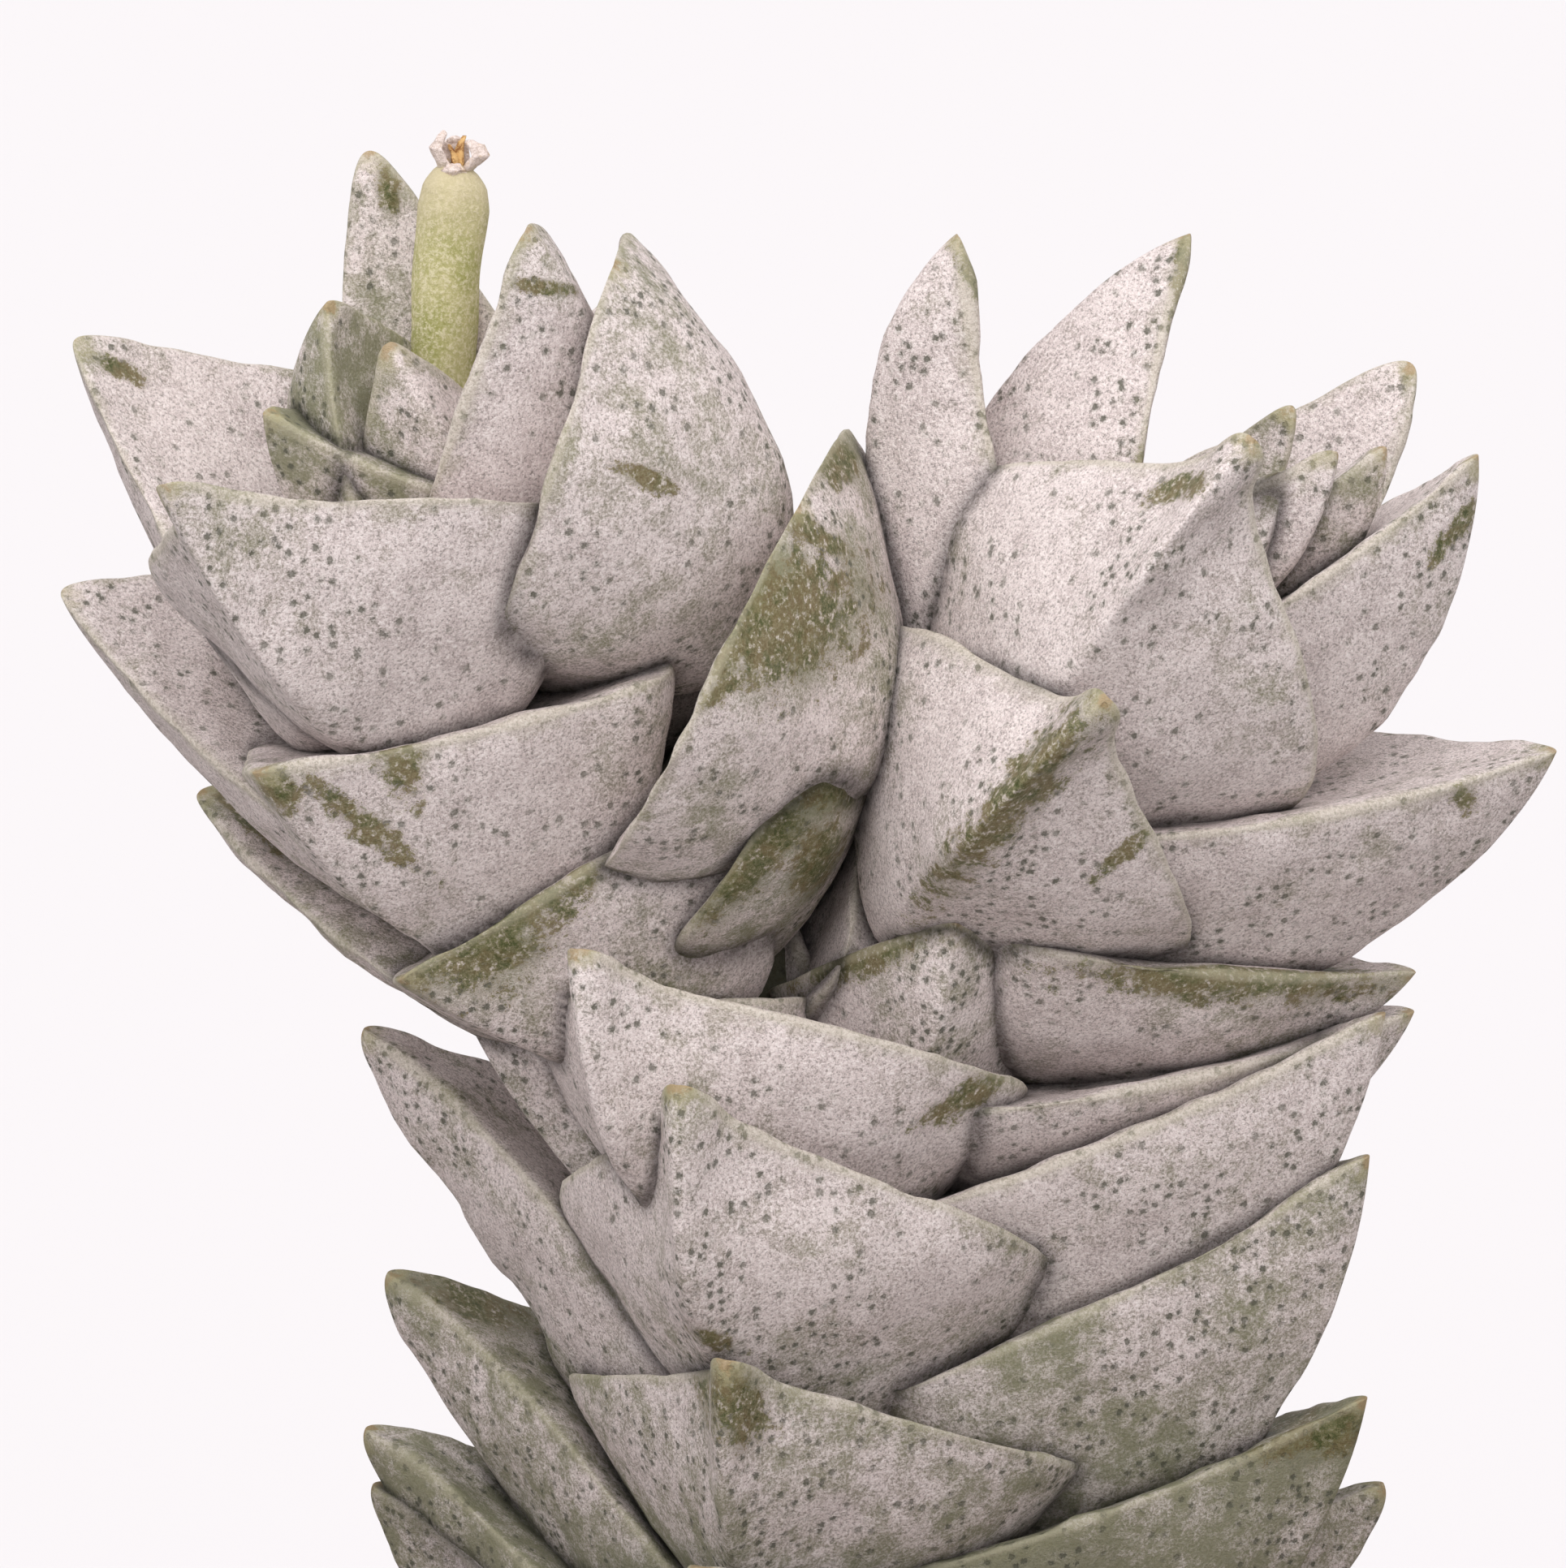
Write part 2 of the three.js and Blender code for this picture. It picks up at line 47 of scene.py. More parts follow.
# Sizes shared with the part's source
POT_HEIGHT = 64
POT_DIAMETER = 74
POT_BASE_DIAMETER = 51
POT_WALL = 4.2
POT_FLOOR = 6
FLOOR_CHAMFER = 2
RIM_HEIGHT = 14
RIM_STEP = 2.6
DRAIN_DIAMETER = 12
SOIL_TOP = 58.5
STEM_DIAMETER = 6.4
STEM_FOOT = 40
HEAD_STEM_RADII = (2.8, 1.3)
GAP = 0.35
SEED = 7

# The camera's place and aim, for the picture and for placing what the photograph shows worn
CAMERA = np.array([-2.93, -391.26, 185.99])
CAMERA_DIP = 12
LENS = 268.3
SENSOR = 36
PHOTO = (1929, 1932)

# A leaf's own sizes, named as in the part's source. Green is how much flesh shows through its wax,
# and worn lists its worn patches.
LEAF = dict(
    width=17.2, depth=8.5, roll=0, low=0, sag=0.12, dish=0.12, margin=0.35, widest=0.28, root=0.5,
    root_depth=0.55, tip_curve=1.3, tip_blunt=0.95, rake=0.75, bow=1, prow=7, full=1.75,
    full_loss=0.45, sink=1.0, green=0.0, worn=(),
)
OUTER = dict(rake=0.7, prow=4.5, depth=7.5)
BROAD = dict(rake=0.6, prow=6)
FRONT = dict(rake=0.35, bow=0.6, prow=9, tip_curve=2.6, tip_blunt=2.4, full=1.25, full_loss=0)
LEFT = dict(rake=0.3, prow=6, bow=0.2, depth=9.5, sag=-0.4, tip_curve=1.8, tip_blunt=1.4, roll=-9)


def row(node, turn, reach, rise, form=None, **own):
    """A leaf: its node, its turn in degrees, how far its tip stands out and up, and its own sizes.

    Each worn patch is an ellipse where the photograph shows it: the pixel of its middle, its half
    length and half width in pixels, and the turn of its long axis in degrees, clockwise from level.
    """
    return dict(LEAF, **dict(form or {}, **own), node=node, turn=turn, reach=reach, rise=rise)


MAIN_STEM = dict(
    nodes=[(0, 0, z) for z in (65.4, 68, 71, 74, 76.5, 79.5, 82.5, 85.6, 89, 92.3)],
    leaves=[
        row(0, 71, 14.5, 3, width=15, depth=5),
        row(1, -19, 16.5, 5, FRONT, depth=7),
        row(2, 264, 17.4, 14, LEFT, low=7.6),
        row(3, -19, 17.5, 5.5, FRONT),
        row(4, 71, 18, 6, green=0.5, worn=[(1610, 1765, 105, 26, -8)]),
        row(4, 265, 17.6, 14, LEFT, low=11, green=0.3),
        row(5, -17, 16.7, 6.4, FRONT, low=-0.6, roll=-5, width=18, green=0.15,
            worn=[(905, 1730, 48, 30, 70)]),
        row(6, 71, 18, 8.5, green=0.35),
        row(6, 265, 16.8, 14.6, LEFT, low=12, green=0.3, worn=[(585, 1600, 62, 20, 28)]),
        row(7, -21, 18, 10.5, FRONT, worn=[(880, 1650, 26, 9, 20)]),
        row(8, 71, 18.5, 7, worn=[(1140, 1425, 60, 10, -32)]),
        row(8, 264, 17.6, 15.7, LEFT, low=11),
        row(9, -33, 18, 8, FRONT, roll=4, worn=[(1195, 1350, 62, 14, -33)]),
    ],
)
LEFT_HEAD = dict(
    nodes=[(-2.2, 0, 92.2), (-4.4, 0, 95.6), (-6.5, -0.5, 99), (-8.6, -1.3, 102.2),
           (-10.4, -2, 104.9), (-11.8, -2.8, 107.3), (-12.9, -3.5, 109.5), (-13.7, -4.2, 111.7),
           (-14.4, -5, 113.8), (-15, -5.6, 115.4)],
    leaves=[
        row(1, -66, 8.6, 6.2, BROAD, width=15, depth=8.5, low=0.7, roll=6),
        row(2, 242, 14.5, 10, OUTER, depth=5, root_depth=0.3, green=0.35,
            worn=[(310, 1015, 60, 10, 42)]),
        row(2, 39, 12, 6.7, OUTER, low=2, width=10, depth=1.6, roll=-4, rake=0.3, widest=0.55,
            root=0.3, root_depth=0.2, tip_curve=1.8, tip_blunt=0.7, green=0.6,
            worn=[(1005, 960, 60, 34, 20), (925, 1060, 85, 26, -50), (1005, 1060, 44, 24, -60)]),
        row(3, -42, 12, 2.5, BROAD, width=18.5, depth=7.5, roll=12, green=0.3,
            worn=[(605, 1145, 110, 52, -36), (715, 1075, 36, 14, 55)]),
        row(4, 242, 14, 11.5, OUTER),
        row(4, 59, 13.9, 8.8, BROAD, low=3.2, width=18.5, depth=4.3, bow=1.9, root=0.3,
            root_depth=0.1, widest=0.6, tip_curve=2.2, tip_blunt=0.55, green=0.4,
            worn=[(960, 765, 100, 66, -28), (1000, 655, 58, 12, 32), (1030, 565, 32, 26, 60),
                  (890, 850, 30, 10, -40)]),
        row(5, -38, 13, 6, BROAD,
            worn=[(494, 932, 44, 26, 80), (452, 1018, 70, 15, 38), (345, 975, 26, 18, 45)]),
        row(6, 242, 10.5, 13, OUTER, rake=1, worn=[(150, 456, 32, 9, 25)]),
        row(6, 72, 9.7, 11.3, BROAD, width=16, depth=8.2, rake=0.4, widest=0.45, root=0.3,
            tip_curve=2, tip_blunt=0.55, green=0.3, worn=[(795, 588, 34, 12, 20)]),
        row(7, -34, 13, 11.5, FRONT, width=15.6, rake=0.7, roll=10),
        row(7, 171, 8, 11.5, OUTER, width=8, depth=4, green=0.3, worn=[(478, 235, 28, 12, 80)]),
        row(8, 64, 7, 10, OUTER, width=12, depth=5, tip_curve=1.6, tip_blunt=0.75,
            worn=[(672, 355, 34, 8, 8)]),
        row(8, 242, 1.5, 8, OUTER, width=9, depth=4, green=0.8),
        row(9, 20, 1.5, 5, BROAD, width=4.5, depth=3, green=0.1),
        row(9, 285, 4.5, 4, BROAD, width=7, depth=4, green=0.7),
    ],
)
RIGHT_HEAD = dict(
    nodes=[(0.8, 0, 93.3), (2, -0.1, 96.3), (3.6, -0.3, 99.3), (5.3, -0.6, 102.1),
           (6.4, -0.9, 103.7), (7.5, -1.2, 105.7), (8.7, -1.5, 107.7), (9.8, -1.8, 109.5),
           (10.7, -2.1, 111.1), (11.4, -2.4, 112.4)],
    leaves=[
        row(0, 82, 16, 8.5, depth=5),
        row(0, 262, 6, 4, OUTER, width=9, depth=4),
        row(1, -5, 9.5, 6.2, BROAD, low=2, width=10, depth=4.5, roll=19, green=0.2,
            worn=[(1060, 1180, 66, 22, -24)]),
        row(2, 82, 14.5, 5.3, OUTER, depth=5.5, roll=-5, green=0.2,
            worn=[(1500, 1206, 170, 22, 2)]),
        row(2, 262, 6.5, 8, OUTER, width=10, depth=4),
        row(3, -7, 15, 8.9, FRONT, width=14.8, depth=7.6, roll=-12,
            worn=[(1245, 990, 140, 24, -49), (1385, 1050, 44, 9, -40)]),
        row(4, 82, 14, 10, OUTER, worn=[(1805, 985, 16, 12, 60)]),
        row(4, 276, 13, 14.5, OUTER, width=10.5, depth=4.2, rake=0.6, roll=10,
            worn=[(1205, 345, 46, 12, 60)]),
        row(5, -8, 11, 14, FRONT, width=15.5, roll=-8, worn=[(1447, 603, 36, 12, -20)]),
        row(5, 150, 8.5, 14.2, OUTER, width=11, depth=5),
        row(6, 82, 6.5, 12.5, OUTER, width=14, depth=6, worn=[(1792, 655, 40, 10, -50)]),
        row(6, 262, 6, 13.5, OUTER, width=12.5, depth=6, roll=8,
            worn=[(1456, 350, 62, 10, 95), (1425, 545, 50, 14, 115)]),
        row(7, 20, 3, 7, BROAD, width=5, depth=3),
        row(7, 160, 1.5, 8, BROAD, width=4.5, depth=3, green=0.5),
        row(8, 82, 4, 7, OUTER, width=5, depth=3, green=0.3),
        row(8, 40, 3.5, 6.7, OUTER, width=5, depth=2.5),
    ],
)
STALK_LINE = [(-14.2, -3.6, 110.5), (-14.4, -3.5, 115), (-14.3, -3.1, 120), (-13.9, -2.7, 124.6)]


# Form

# The numbers of the part's own repeatable random generator
MULTIPLIER = 1664525
INCREMENT = 1013904223
MODULUS = 2 ** 32


def random_from(seed):
    """The same random numbers from 0 to 1 as the part's source draws."""
    state = seed
    while True:
        state = (state * MULTIPLIER + INCREMENT) % MODULUS
        yield state / MODULUS


# A partner is like the leaf opposite it, with small random differences
PARTNER_SPREAD = dict(turn=4, reach=0.04, rise=0.1, roll=3)


def with_partners(shoot, draw):
    """A leaf alone on its node gets a partner opposite it, by the source's own rule and draws."""
    rows = list(shoot["leaves"])
    for node in range(len(shoot["nodes"])):
        here = [leaf for leaf in shoot["leaves"] if leaf["node"] == node]
        if len(here) != 1:
            continue
        leaf = here[0]
        turn, reach, rise, roll = [s * (2 * next(draw) - 1) for s in PARTNER_SPREAD.values()]
        rows.append(dict(leaf, worn=(), roll=roll, turn=leaf["turn"] + 180 + turn,
                         reach=leaf["reach"] * (1 + reach), rise=leaf["rise"] * (1 + rise)))
    return rows


def unit(v):
    return v / np.linalg.norm(v)


def leaf_axes(nodes, f):
    """The foot of a leaf on its shoot and its own axes: along, across and face."""
    p = np.array(nodes, float)
    i = f["node"]
    up = unit(p[min(i + 1, len(p) - 1)] - p[max(i - 1, 0)])
    front = np.array([0, -1.0, 0])
    front = unit(front - up * front.dot(up))
    side = np.cross(up, front)
    turn, roll = math.radians(f["turn"]), math.radians(f["roll"])
    climb = math.atan2(f["rise"], f["reach"])
    out = math.cos(turn) * front + math.sin(turn) * side
    lateral = np.cross(up, out)
    along = math.cos(climb) * out + math.sin(climb) * up
    normal = math.cos(climb) * up - math.sin(climb) * out
    across = math.cos(roll) * lateral + math.sin(roll) * normal
    return p[i] - f["low"] * up, along, across, math.cos(roll) * normal - math.sin(roll) * lateral


# The rings of a leaf crowd towards its tip; round each are points over the deck and back below
LEAF_RINGS = 60
RING_CROWDING = 1.9
DECK_STEPS = 24
BELLY_STEPS = 44

# Over what part of its length a leaf deepens from the root and its margin thins out at the tip,
# how its keel's depth changes towards the bow, and the least share of the rake that it has
DEEPENING = 0.3
MARGIN_END = 0.07
BOW_CURVE = 0.8
LEAST_RAKE = 0.2

# How round a leaf's tip is and how far back that reaches; leaves under the full width have less
TIP_ROUND = 0.5
TIP_REACH = 2
FULL_WIDTH = 12

# How round the keel's ridge is, how the sides curve in under the margin, how the prow swells
KEEL_ROUND = 0.07
SHOULDER = 0.9
PROW_SWELL = 0.3

# How far the tip hooks up, and from where along the leaf; leaves under the full length hook less
HOOK = 0.15
HOOK_FROM = 0.8
FULL_LENGTH = 14

# How far below its foot the middle of a leaf's root is, as a share of its depth, and the distance
# to the keel that the deck's points are given
ROOT_MIDDLE = 0.4
FAR_FROM_KEEL = 9.0


def smooth(x):
    x = np.clip(x, 0, 1)
    return x * x * (3 - 2 * x)


def ease_in(x):
    return np.sin(np.minimum(x, 1) * math.pi / 2)


def round_off(t):
    return np.sqrt(1 - t ** 6)


def leaf_points(nodes, f):
    """Rings of points of one leaf, its root and tip, and three lengths for each ring point: what is
    left along the leaf to its tip, and the distances to its margin and to its keel."""
    foot, along, across, face = leaf_axes(nodes, f)
    length = math.hypot(f["reach"], f["rise"])
    s = (1 - (1 - np.arange(LEAF_RINGS) / LEAF_RINGS) ** RING_CROWDING)[:, None]
    left = (1 - s) * length
    past = np.maximum(0, (s - f["widest"]) / (1 - f["widest"]))
    near_root = f["root"] + (1 - f["root"]) * ease_in(s / f["widest"])
    near_tip = (1 - past ** f["tip_curve"]) ** f["tip_blunt"]
    half = f["width"] / 2 * np.where(s < f["widest"], near_root, near_tip)
    blunt = TIP_ROUND * min(1, f["width"] / FULL_WIDTH)
    half = np.sqrt(half ** 2 + 2 * blunt * left * np.exp(-left / TIP_REACH))
    deepen = f["root_depth"] + (1 - f["root_depth"]) * ease_in(s / DEEPENING)
    keel = f["depth"] * np.sqrt(1 - s ** f["prow"]) * deepen
    keel = keel * (f["bow"] + (1 - f["bow"]) * (1 - s) ** BOW_CURVE)
    edge = f["margin"] * np.sqrt(np.minimum(1, (1 - s) / MARGIN_END))
    hook = HOOK * min(1, length / FULL_LENGTH)
    level = -f["sag"] * length * s * (1 - s) + hook * smooth((s - HOOK_FROM) / (1 - HOOK_FROM))
    u = -f["sink"] + s * (length + f["sink"])
    slope = f["rake"] * np.maximum(s, LEAST_RAKE)
    full = f["full"] - f["full_loss"] * s

    t = np.cos(np.linspace(0, math.pi, DECK_STEPS))[None, :]
    lift = edge * round_off(t) - f["dish"] * half * (1 - t * t)
    deck = np.stack([u + slope * np.minimum(0, lift), half * t, level + lift], -1)
    b = np.cos(np.linspace(math.pi, 2 * math.pi, BELLY_STEPS + 2))[None, 1:-1]
    ridge = (np.hypot(b, KEEL_ROUND) - KEEL_ROUND) / (math.hypot(1, KEEL_ROUND) - KEEL_ROUND)
    hang = keel * (1 - ridge ** full) ** SHOULDER
    drop = hang + edge * round_off(b)
    back = slope * drop * (1 - PROW_SWELL * (1 - np.minimum(1, drop / f["depth"])))
    belly = np.stack([u - back, half * b, level - drop], -1)

    place = np.concatenate([
        np.stack(np.broadcast_arrays(left, half - half * np.abs(t), FAR_FROM_KEEL), -1),
        np.stack(np.broadcast_arrays(left, half - half * np.abs(b) + hang, half * np.abs(b)), -1),
    ], 1)
    axes = np.stack([along, across, face])
    tip = foot + np.array([length, 0, hook]) @ axes
    root = foot + np.array([-f["sink"], 0, -ROOT_MIDDLE * f["depth"]]) @ axes
    return foot + np.concatenate([deck, belly], 1) @ axes, root, tip, place


def waves(p, length, draw, count=6):
    """A smooth uneven field, mostly from -1 to 1, with hills about that many millimetres apart."""
    total = np.zeros(p.shape[:-1])
    for _ in range(count):
        direction = unit(draw.normal(size=3))
        frequency = 2 * math.pi / length * draw.uniform(0.6, 1.5)
        total += np.sin(p @ direction * frequency + draw.uniform(0, 6.28))
    return total / math.sqrt(count)


def uneven(p, recipe, draw):
    """The sum of some waves, of which the recipe gives the heights and the lengths."""
    return sum(height * waves(p, length, draw) for height, length in recipe)


def ring_normals(rings):
    """Outward directions at the points of a ring mesh."""
    n = np.cross(np.roll(rings, -1, 1) - np.roll(rings, 1, 1), np.gradient(rings, axis=0))
    n /= np.maximum(np.linalg.norm(n, axis=-1, keepdims=True), 1e-9)
    return n * np.sign((n * (rings - rings.mean(1, keepdims=True))).sum())


def ring_faces(count, sides, start):
    """Faces of a closed skin through rings; its two end points come after the rings' points."""
    j = np.arange(sides)
    k = (j + 1) % sides
    quads = [np.stack([a + j, a + k, a + sides + k, a + sides + j], -1)
             for a in range(start, start + (count - 1) * sides, sides)]
    first, last = start + count * sides, start + count * sides + 1
    top = start + (count - 1) * sides
    ends = [(first, start + y, start + x) for x, y in zip(j.tolist(), k.tolist())]
    ends += [(top + x, top + y, last) for x, y in zip(j.tolist(), k.tolist())]
    return np.concatenate(quads).tolist() + ends


def make_piece(name, points, faces, node, material):
    """A smooth mesh object in metres that rides on the part and stands for a CAD node."""
    mesh = bpy.data.meshes.new(name)
    mesh.from_pydata((np.asarray(points) * MM).tolist(), [], faces)
    mesh.polygons.foreach_set("use_smooth", [True] * len(mesh.polygons))
    mesh.materials.append(material)
    mesh.update()
    piece = bpy.data.objects.new(name, mesh)
    bpy.context.scene.collection.objects.link(piece)
    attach(piece, "root")
    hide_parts(node)
    return piece


def set_attribute(piece, name, values):
    """Three numbers for each point of a mesh, for its material to read."""
    layer = piece.data.attributes.new(name, "FLOAT_VECTOR", "POINT")
    layer.data.foreach_set("vector", np.asarray(values, np.float32).ravel())


# How far a tube's ends bulge, as a share of their radius
DOME = 0.3


def tube(line, radii, sides, steps):
    """Rings along a smooth line, with radii for shares of its length, and its two end points."""
    p = np.array(line, float)
    ext = np.vstack([2 * p[0] - p[1], p, 2 * p[-1] - p[-2]])
    centres = []
    for t in np.linspace(0, 1, steps + 1):
        x = t * (len(p) - 1)
        i = min(int(x), len(p) - 2)
        w = x - i
        a, b, c, d = ext[i:i + 4]
        centres.append(0.5 * (2 * b + (c - a) * w + (2 * a - 5 * b + 4 * c - d) * w ** 2
                              + (3 * b - a - 3 * c + d) * w ** 3))
    centres = np.array(centres)
    tangents = np.gradient(centres, axis=0)
    tangents /= np.linalg.norm(tangents, axis=1, keepdims=True)
    angle = np.linspace(0, 2 * math.pi, sides, endpoint=False)[:, None]
    radius = np.interp(np.linspace(0, 1, steps + 1), *radii)
    rings = []
    for centre, tangent, r in zip(centres, tangents, radius):
        x = unit(np.array([0, -1.0, 0]) + tangent * tangent[1])
        rings.append(centre + r * (np.cos(angle) * x + np.sin(angle) * np.cross(tangent, x)))
    low = centres[0] - tangents[0] * DOME * radius[0]
    high = centres[-1] + tangents[-1] * DOME * radius[-1]
    return np.array(rings), low, high


def seen(points):
    """The pixel of the photograph at which the camera sees each point."""
    dip = math.radians(CAMERA_DIP)
    ray = points - CAMERA
    away = ray @ np.array([0, math.cos(dip), -math.sin(dip)])
    high = ray @ np.array([0, math.sin(dip), math.cos(dip)])
    focal = LENS / SENSOR * PHOTO[1]
    return PHOTO[0] / 2 + focal * ray[..., 0] / away, PHOTO[1] / 2 - focal * high / away


# A worn patch fades out at this many times its own size, and where the skin turns from the camera
PATCH_REACH = 2.5
FACING = 0.15


def rubbed(points, normals, patches):
    """How worn the wax is at each point: 1 in the middle of a patch, 0.6 at its edge, 0 far off."""
    x, y = seen(points)
    wear = np.zeros(x.shape)
    toward = -((points - CAMERA) * normals).sum(-1) / np.linalg.norm(points - CAMERA, axis=-1)
    for px, py, long, wide, turn in patches:
        c, s = math.cos(math.radians(turn)), math.sin(math.radians(turn))
        u = ((x - px) * c + (y - py) * s) / long
        v = ((y - py) * c - (x - px) * s) / wide
        near = np.clip(1 - np.hypot(u, v) / PATCH_REACH, 0, 1)
        wear = np.maximum(wear, near * smooth(toward / FACING))
    return wear


# How near another leaf has to be for painted shade to start on this one, in millimetres
CONTACT = 0.55


def contacts(leaves):
    """How close each point of each leaf is to another leaf: 1 where they touch, 0 at CONTACT; it
    drives the painted shade between leaves.
    """
    skins, boxes, result = [], [], []
    for rings in leaves:
        ends = [rings[0].mean(0), rings[-1].mean(0)]
        points = np.concatenate([rings.reshape(-1, 3), ends]).tolist()
        skins.append(BVHTree.FromPolygons(points, ring_faces(len(rings), rings.shape[1], 0)))
        boxes.append((rings.min((0, 1)) - CONTACT, rings.max((0, 1)) + CONTACT))
    for own, rings in zip(skins, leaves):
        flat = rings.reshape(-1, 3)
        points = flat.tolist()
        gap = [CONTACT] * len(points)
        for skin, (low, high) in zip(skins, boxes):
            if skin is own:
                continue
            for k in np.flatnonzero(((flat > low) & (flat < high)).all(1)).tolist():
                distance = skin.find_nearest(points[k], gap[k])[3]
                if distance is not None:
                    gap[k] = distance
        result.append(1 - np.array(gap).reshape(rings.shape[:2]) / CONTACT)
    return result


# The leaves are old at one height and young from another, and darker low down: partly their own
# colour, partly painted shade under the leaves above
OLD_HEIGHT = 72
YOUNG_HEIGHT = 98

# The unevenness of the skin, and how it fades out before the tip
SKIN = [(0.10, 7), (0.04, 2.4), (0.015, 1.1)]
SKIN_FADE = 1.5

# How many pits there are and how green the leaf is: everywhere, in waves, and with age and nearness
PITS = dict(all=0.22, keel=0.30, tip=0.25, age=0.35)
PIT_WAVES = [(0.30, 5), (0.20, 2.2)]
GREEN = dict(all=-0.10, age=0.75, tip=0.35, margin=0.05)
GREEN_WAVES = [(0.22, 6), (0.16, 2.5)]
GREENING = 1.3
KEEL_FADE = 2.5
TIP_FADE = 2.2
MARGIN_FADE = 0.8

# How worn the green parts and the tips are outside the patches, and the painted shade low down and
# where leaves touch
WORN = dict(green=0.16, tip=0.12)
AGE_AND_PAINTED_SHADE = 0.28
CONTACT_PAINTED_SHADE = 0.8
CONTACT_CURVE = 1.4

# The attributes of the points that aren't on a leaf's rings: tip, margin, pits; wear, green,
# painted shade (the root hidden in the stem, the tip a little, and the stem inside the leaves are
# darkened as shade)
ROOT_MARGIN = 4
ROOT_WEAR_AND_PAINTED_SHADE = [0, 0.5, 0.7]
TIP_WEAR_AND_PAINTED_SHADE = [0, 0.5, 0.1]
STEM_PLACE = [8.0, 4, 0.4]
STEM_WEAR_AND_PAINTED_SHADE = [0.35, 1.2, 0.6]

STEM_SIDES = 24
STEM_STEPS = 60
STEM_SKIN = [(0.18, 2.2)]


def build_shoot(name, shoot, rows, touching, foot, radii, seed, material):
    """All the leaves of a shoot and its stem as one piece, with the attributes for its material."""
    draw = np.random.default_rng(seed)
    points, faces, place, wear = [], [], [], []
    count = 0
    for f, touch in zip(rows, touching):
        rings, root, tip, where = leaf_points(shoot["nodes"], f)
        left, margin, keel = where[..., 0], where[..., 1], where[..., 2]
        to_tip = np.linalg.norm(rings - tip, axis=-1)
        small = min(1, f["width"] / FULL_WIDTH)
        normals = ring_normals(rings)
        swell = uneven(rings, SKIN, draw) * small * np.minimum(1, left / SKIN_FADE)
        rings = rings + normals * swell[..., None]

        age = np.clip((YOUNG_HEIGHT - rings[..., 2]) / (YOUNG_HEIGHT - OLD_HEIGHT), 0, 1)
        tip_near = np.exp(-to_tip / TIP_FADE)
        keel_near = np.exp(-(keel / KEEL_FADE) ** 2)
        margin_near = np.exp(-margin / MARGIN_FADE)
        pits = (PITS["all"] + uneven(rings, PIT_WAVES, draw) + PITS["keel"] * keel_near
                + PITS["tip"] * tip_near + PITS["age"] * age)
        green = (f["green"] + GREEN["all"] + uneven(rings, GREEN_WAVES, draw)
                 + GREEN["age"] * age ** GREENING + GREEN["tip"] * tip_near
                 + GREEN["margin"] * margin_near)
        worn = np.maximum(rubbed(rings, normals, f["worn"]),
                          WORN["green"] * f["green"] + WORN["tip"] * tip_near)
        # Painted shade: darker low on the column and where another leaf is close
        painted_shade = 1 - (1 - AGE_AND_PAINTED_SHADE * age) * (1 - CONTACT_PAINTED_SHADE * touch ** CONTACT_CURVE)

        points += [rings.reshape(-1, 3), root[None], tip[None]]
        faces += ring_faces(LEAF_RINGS, rings.shape[1], count)
        place += [np.stack([to_tip, margin, pits], -1).reshape(-1, 3),
                  [[to_tip.max(), ROOT_MARGIN, 0], [0, 0, 0]]]
        wear += [np.stack([worn, green, painted_shade], -1).reshape(-1, 3), [ROOT_WEAR_AND_PAINTED_SHADE, TIP_WEAR_AND_PAINTED_SHADE]]
        count += rings[..., 0].size + 2
    stem, low, high = tube(foot + list(shoot["nodes"]), radii, STEM_SIDES, STEM_STEPS)
    stem = stem + ring_normals(stem) * uneven(stem, STEM_SKIN, draw)[..., None]
    points += [stem.reshape(-1, 3), low[None], high[None]]
    faces += ring_faces(len(stem), STEM_SIDES, count)
    place += [np.tile(STEM_PLACE, (stem[..., 0].size + 2, 1))]
    wear += [np.tile(STEM_WEAR_AND_PAINTED_SHADE, (stem[..., 0].size + 2, 1))]
    piece = make_piece(name + "_leaves", np.concatenate(points), faces, name, material)
    set_attribute(piece, "place", np.concatenate(place))
    # The wear attribute carries worn, green and painted shade
    set_attribute(piece, "wear", np.concatenate(wear))


# Materials

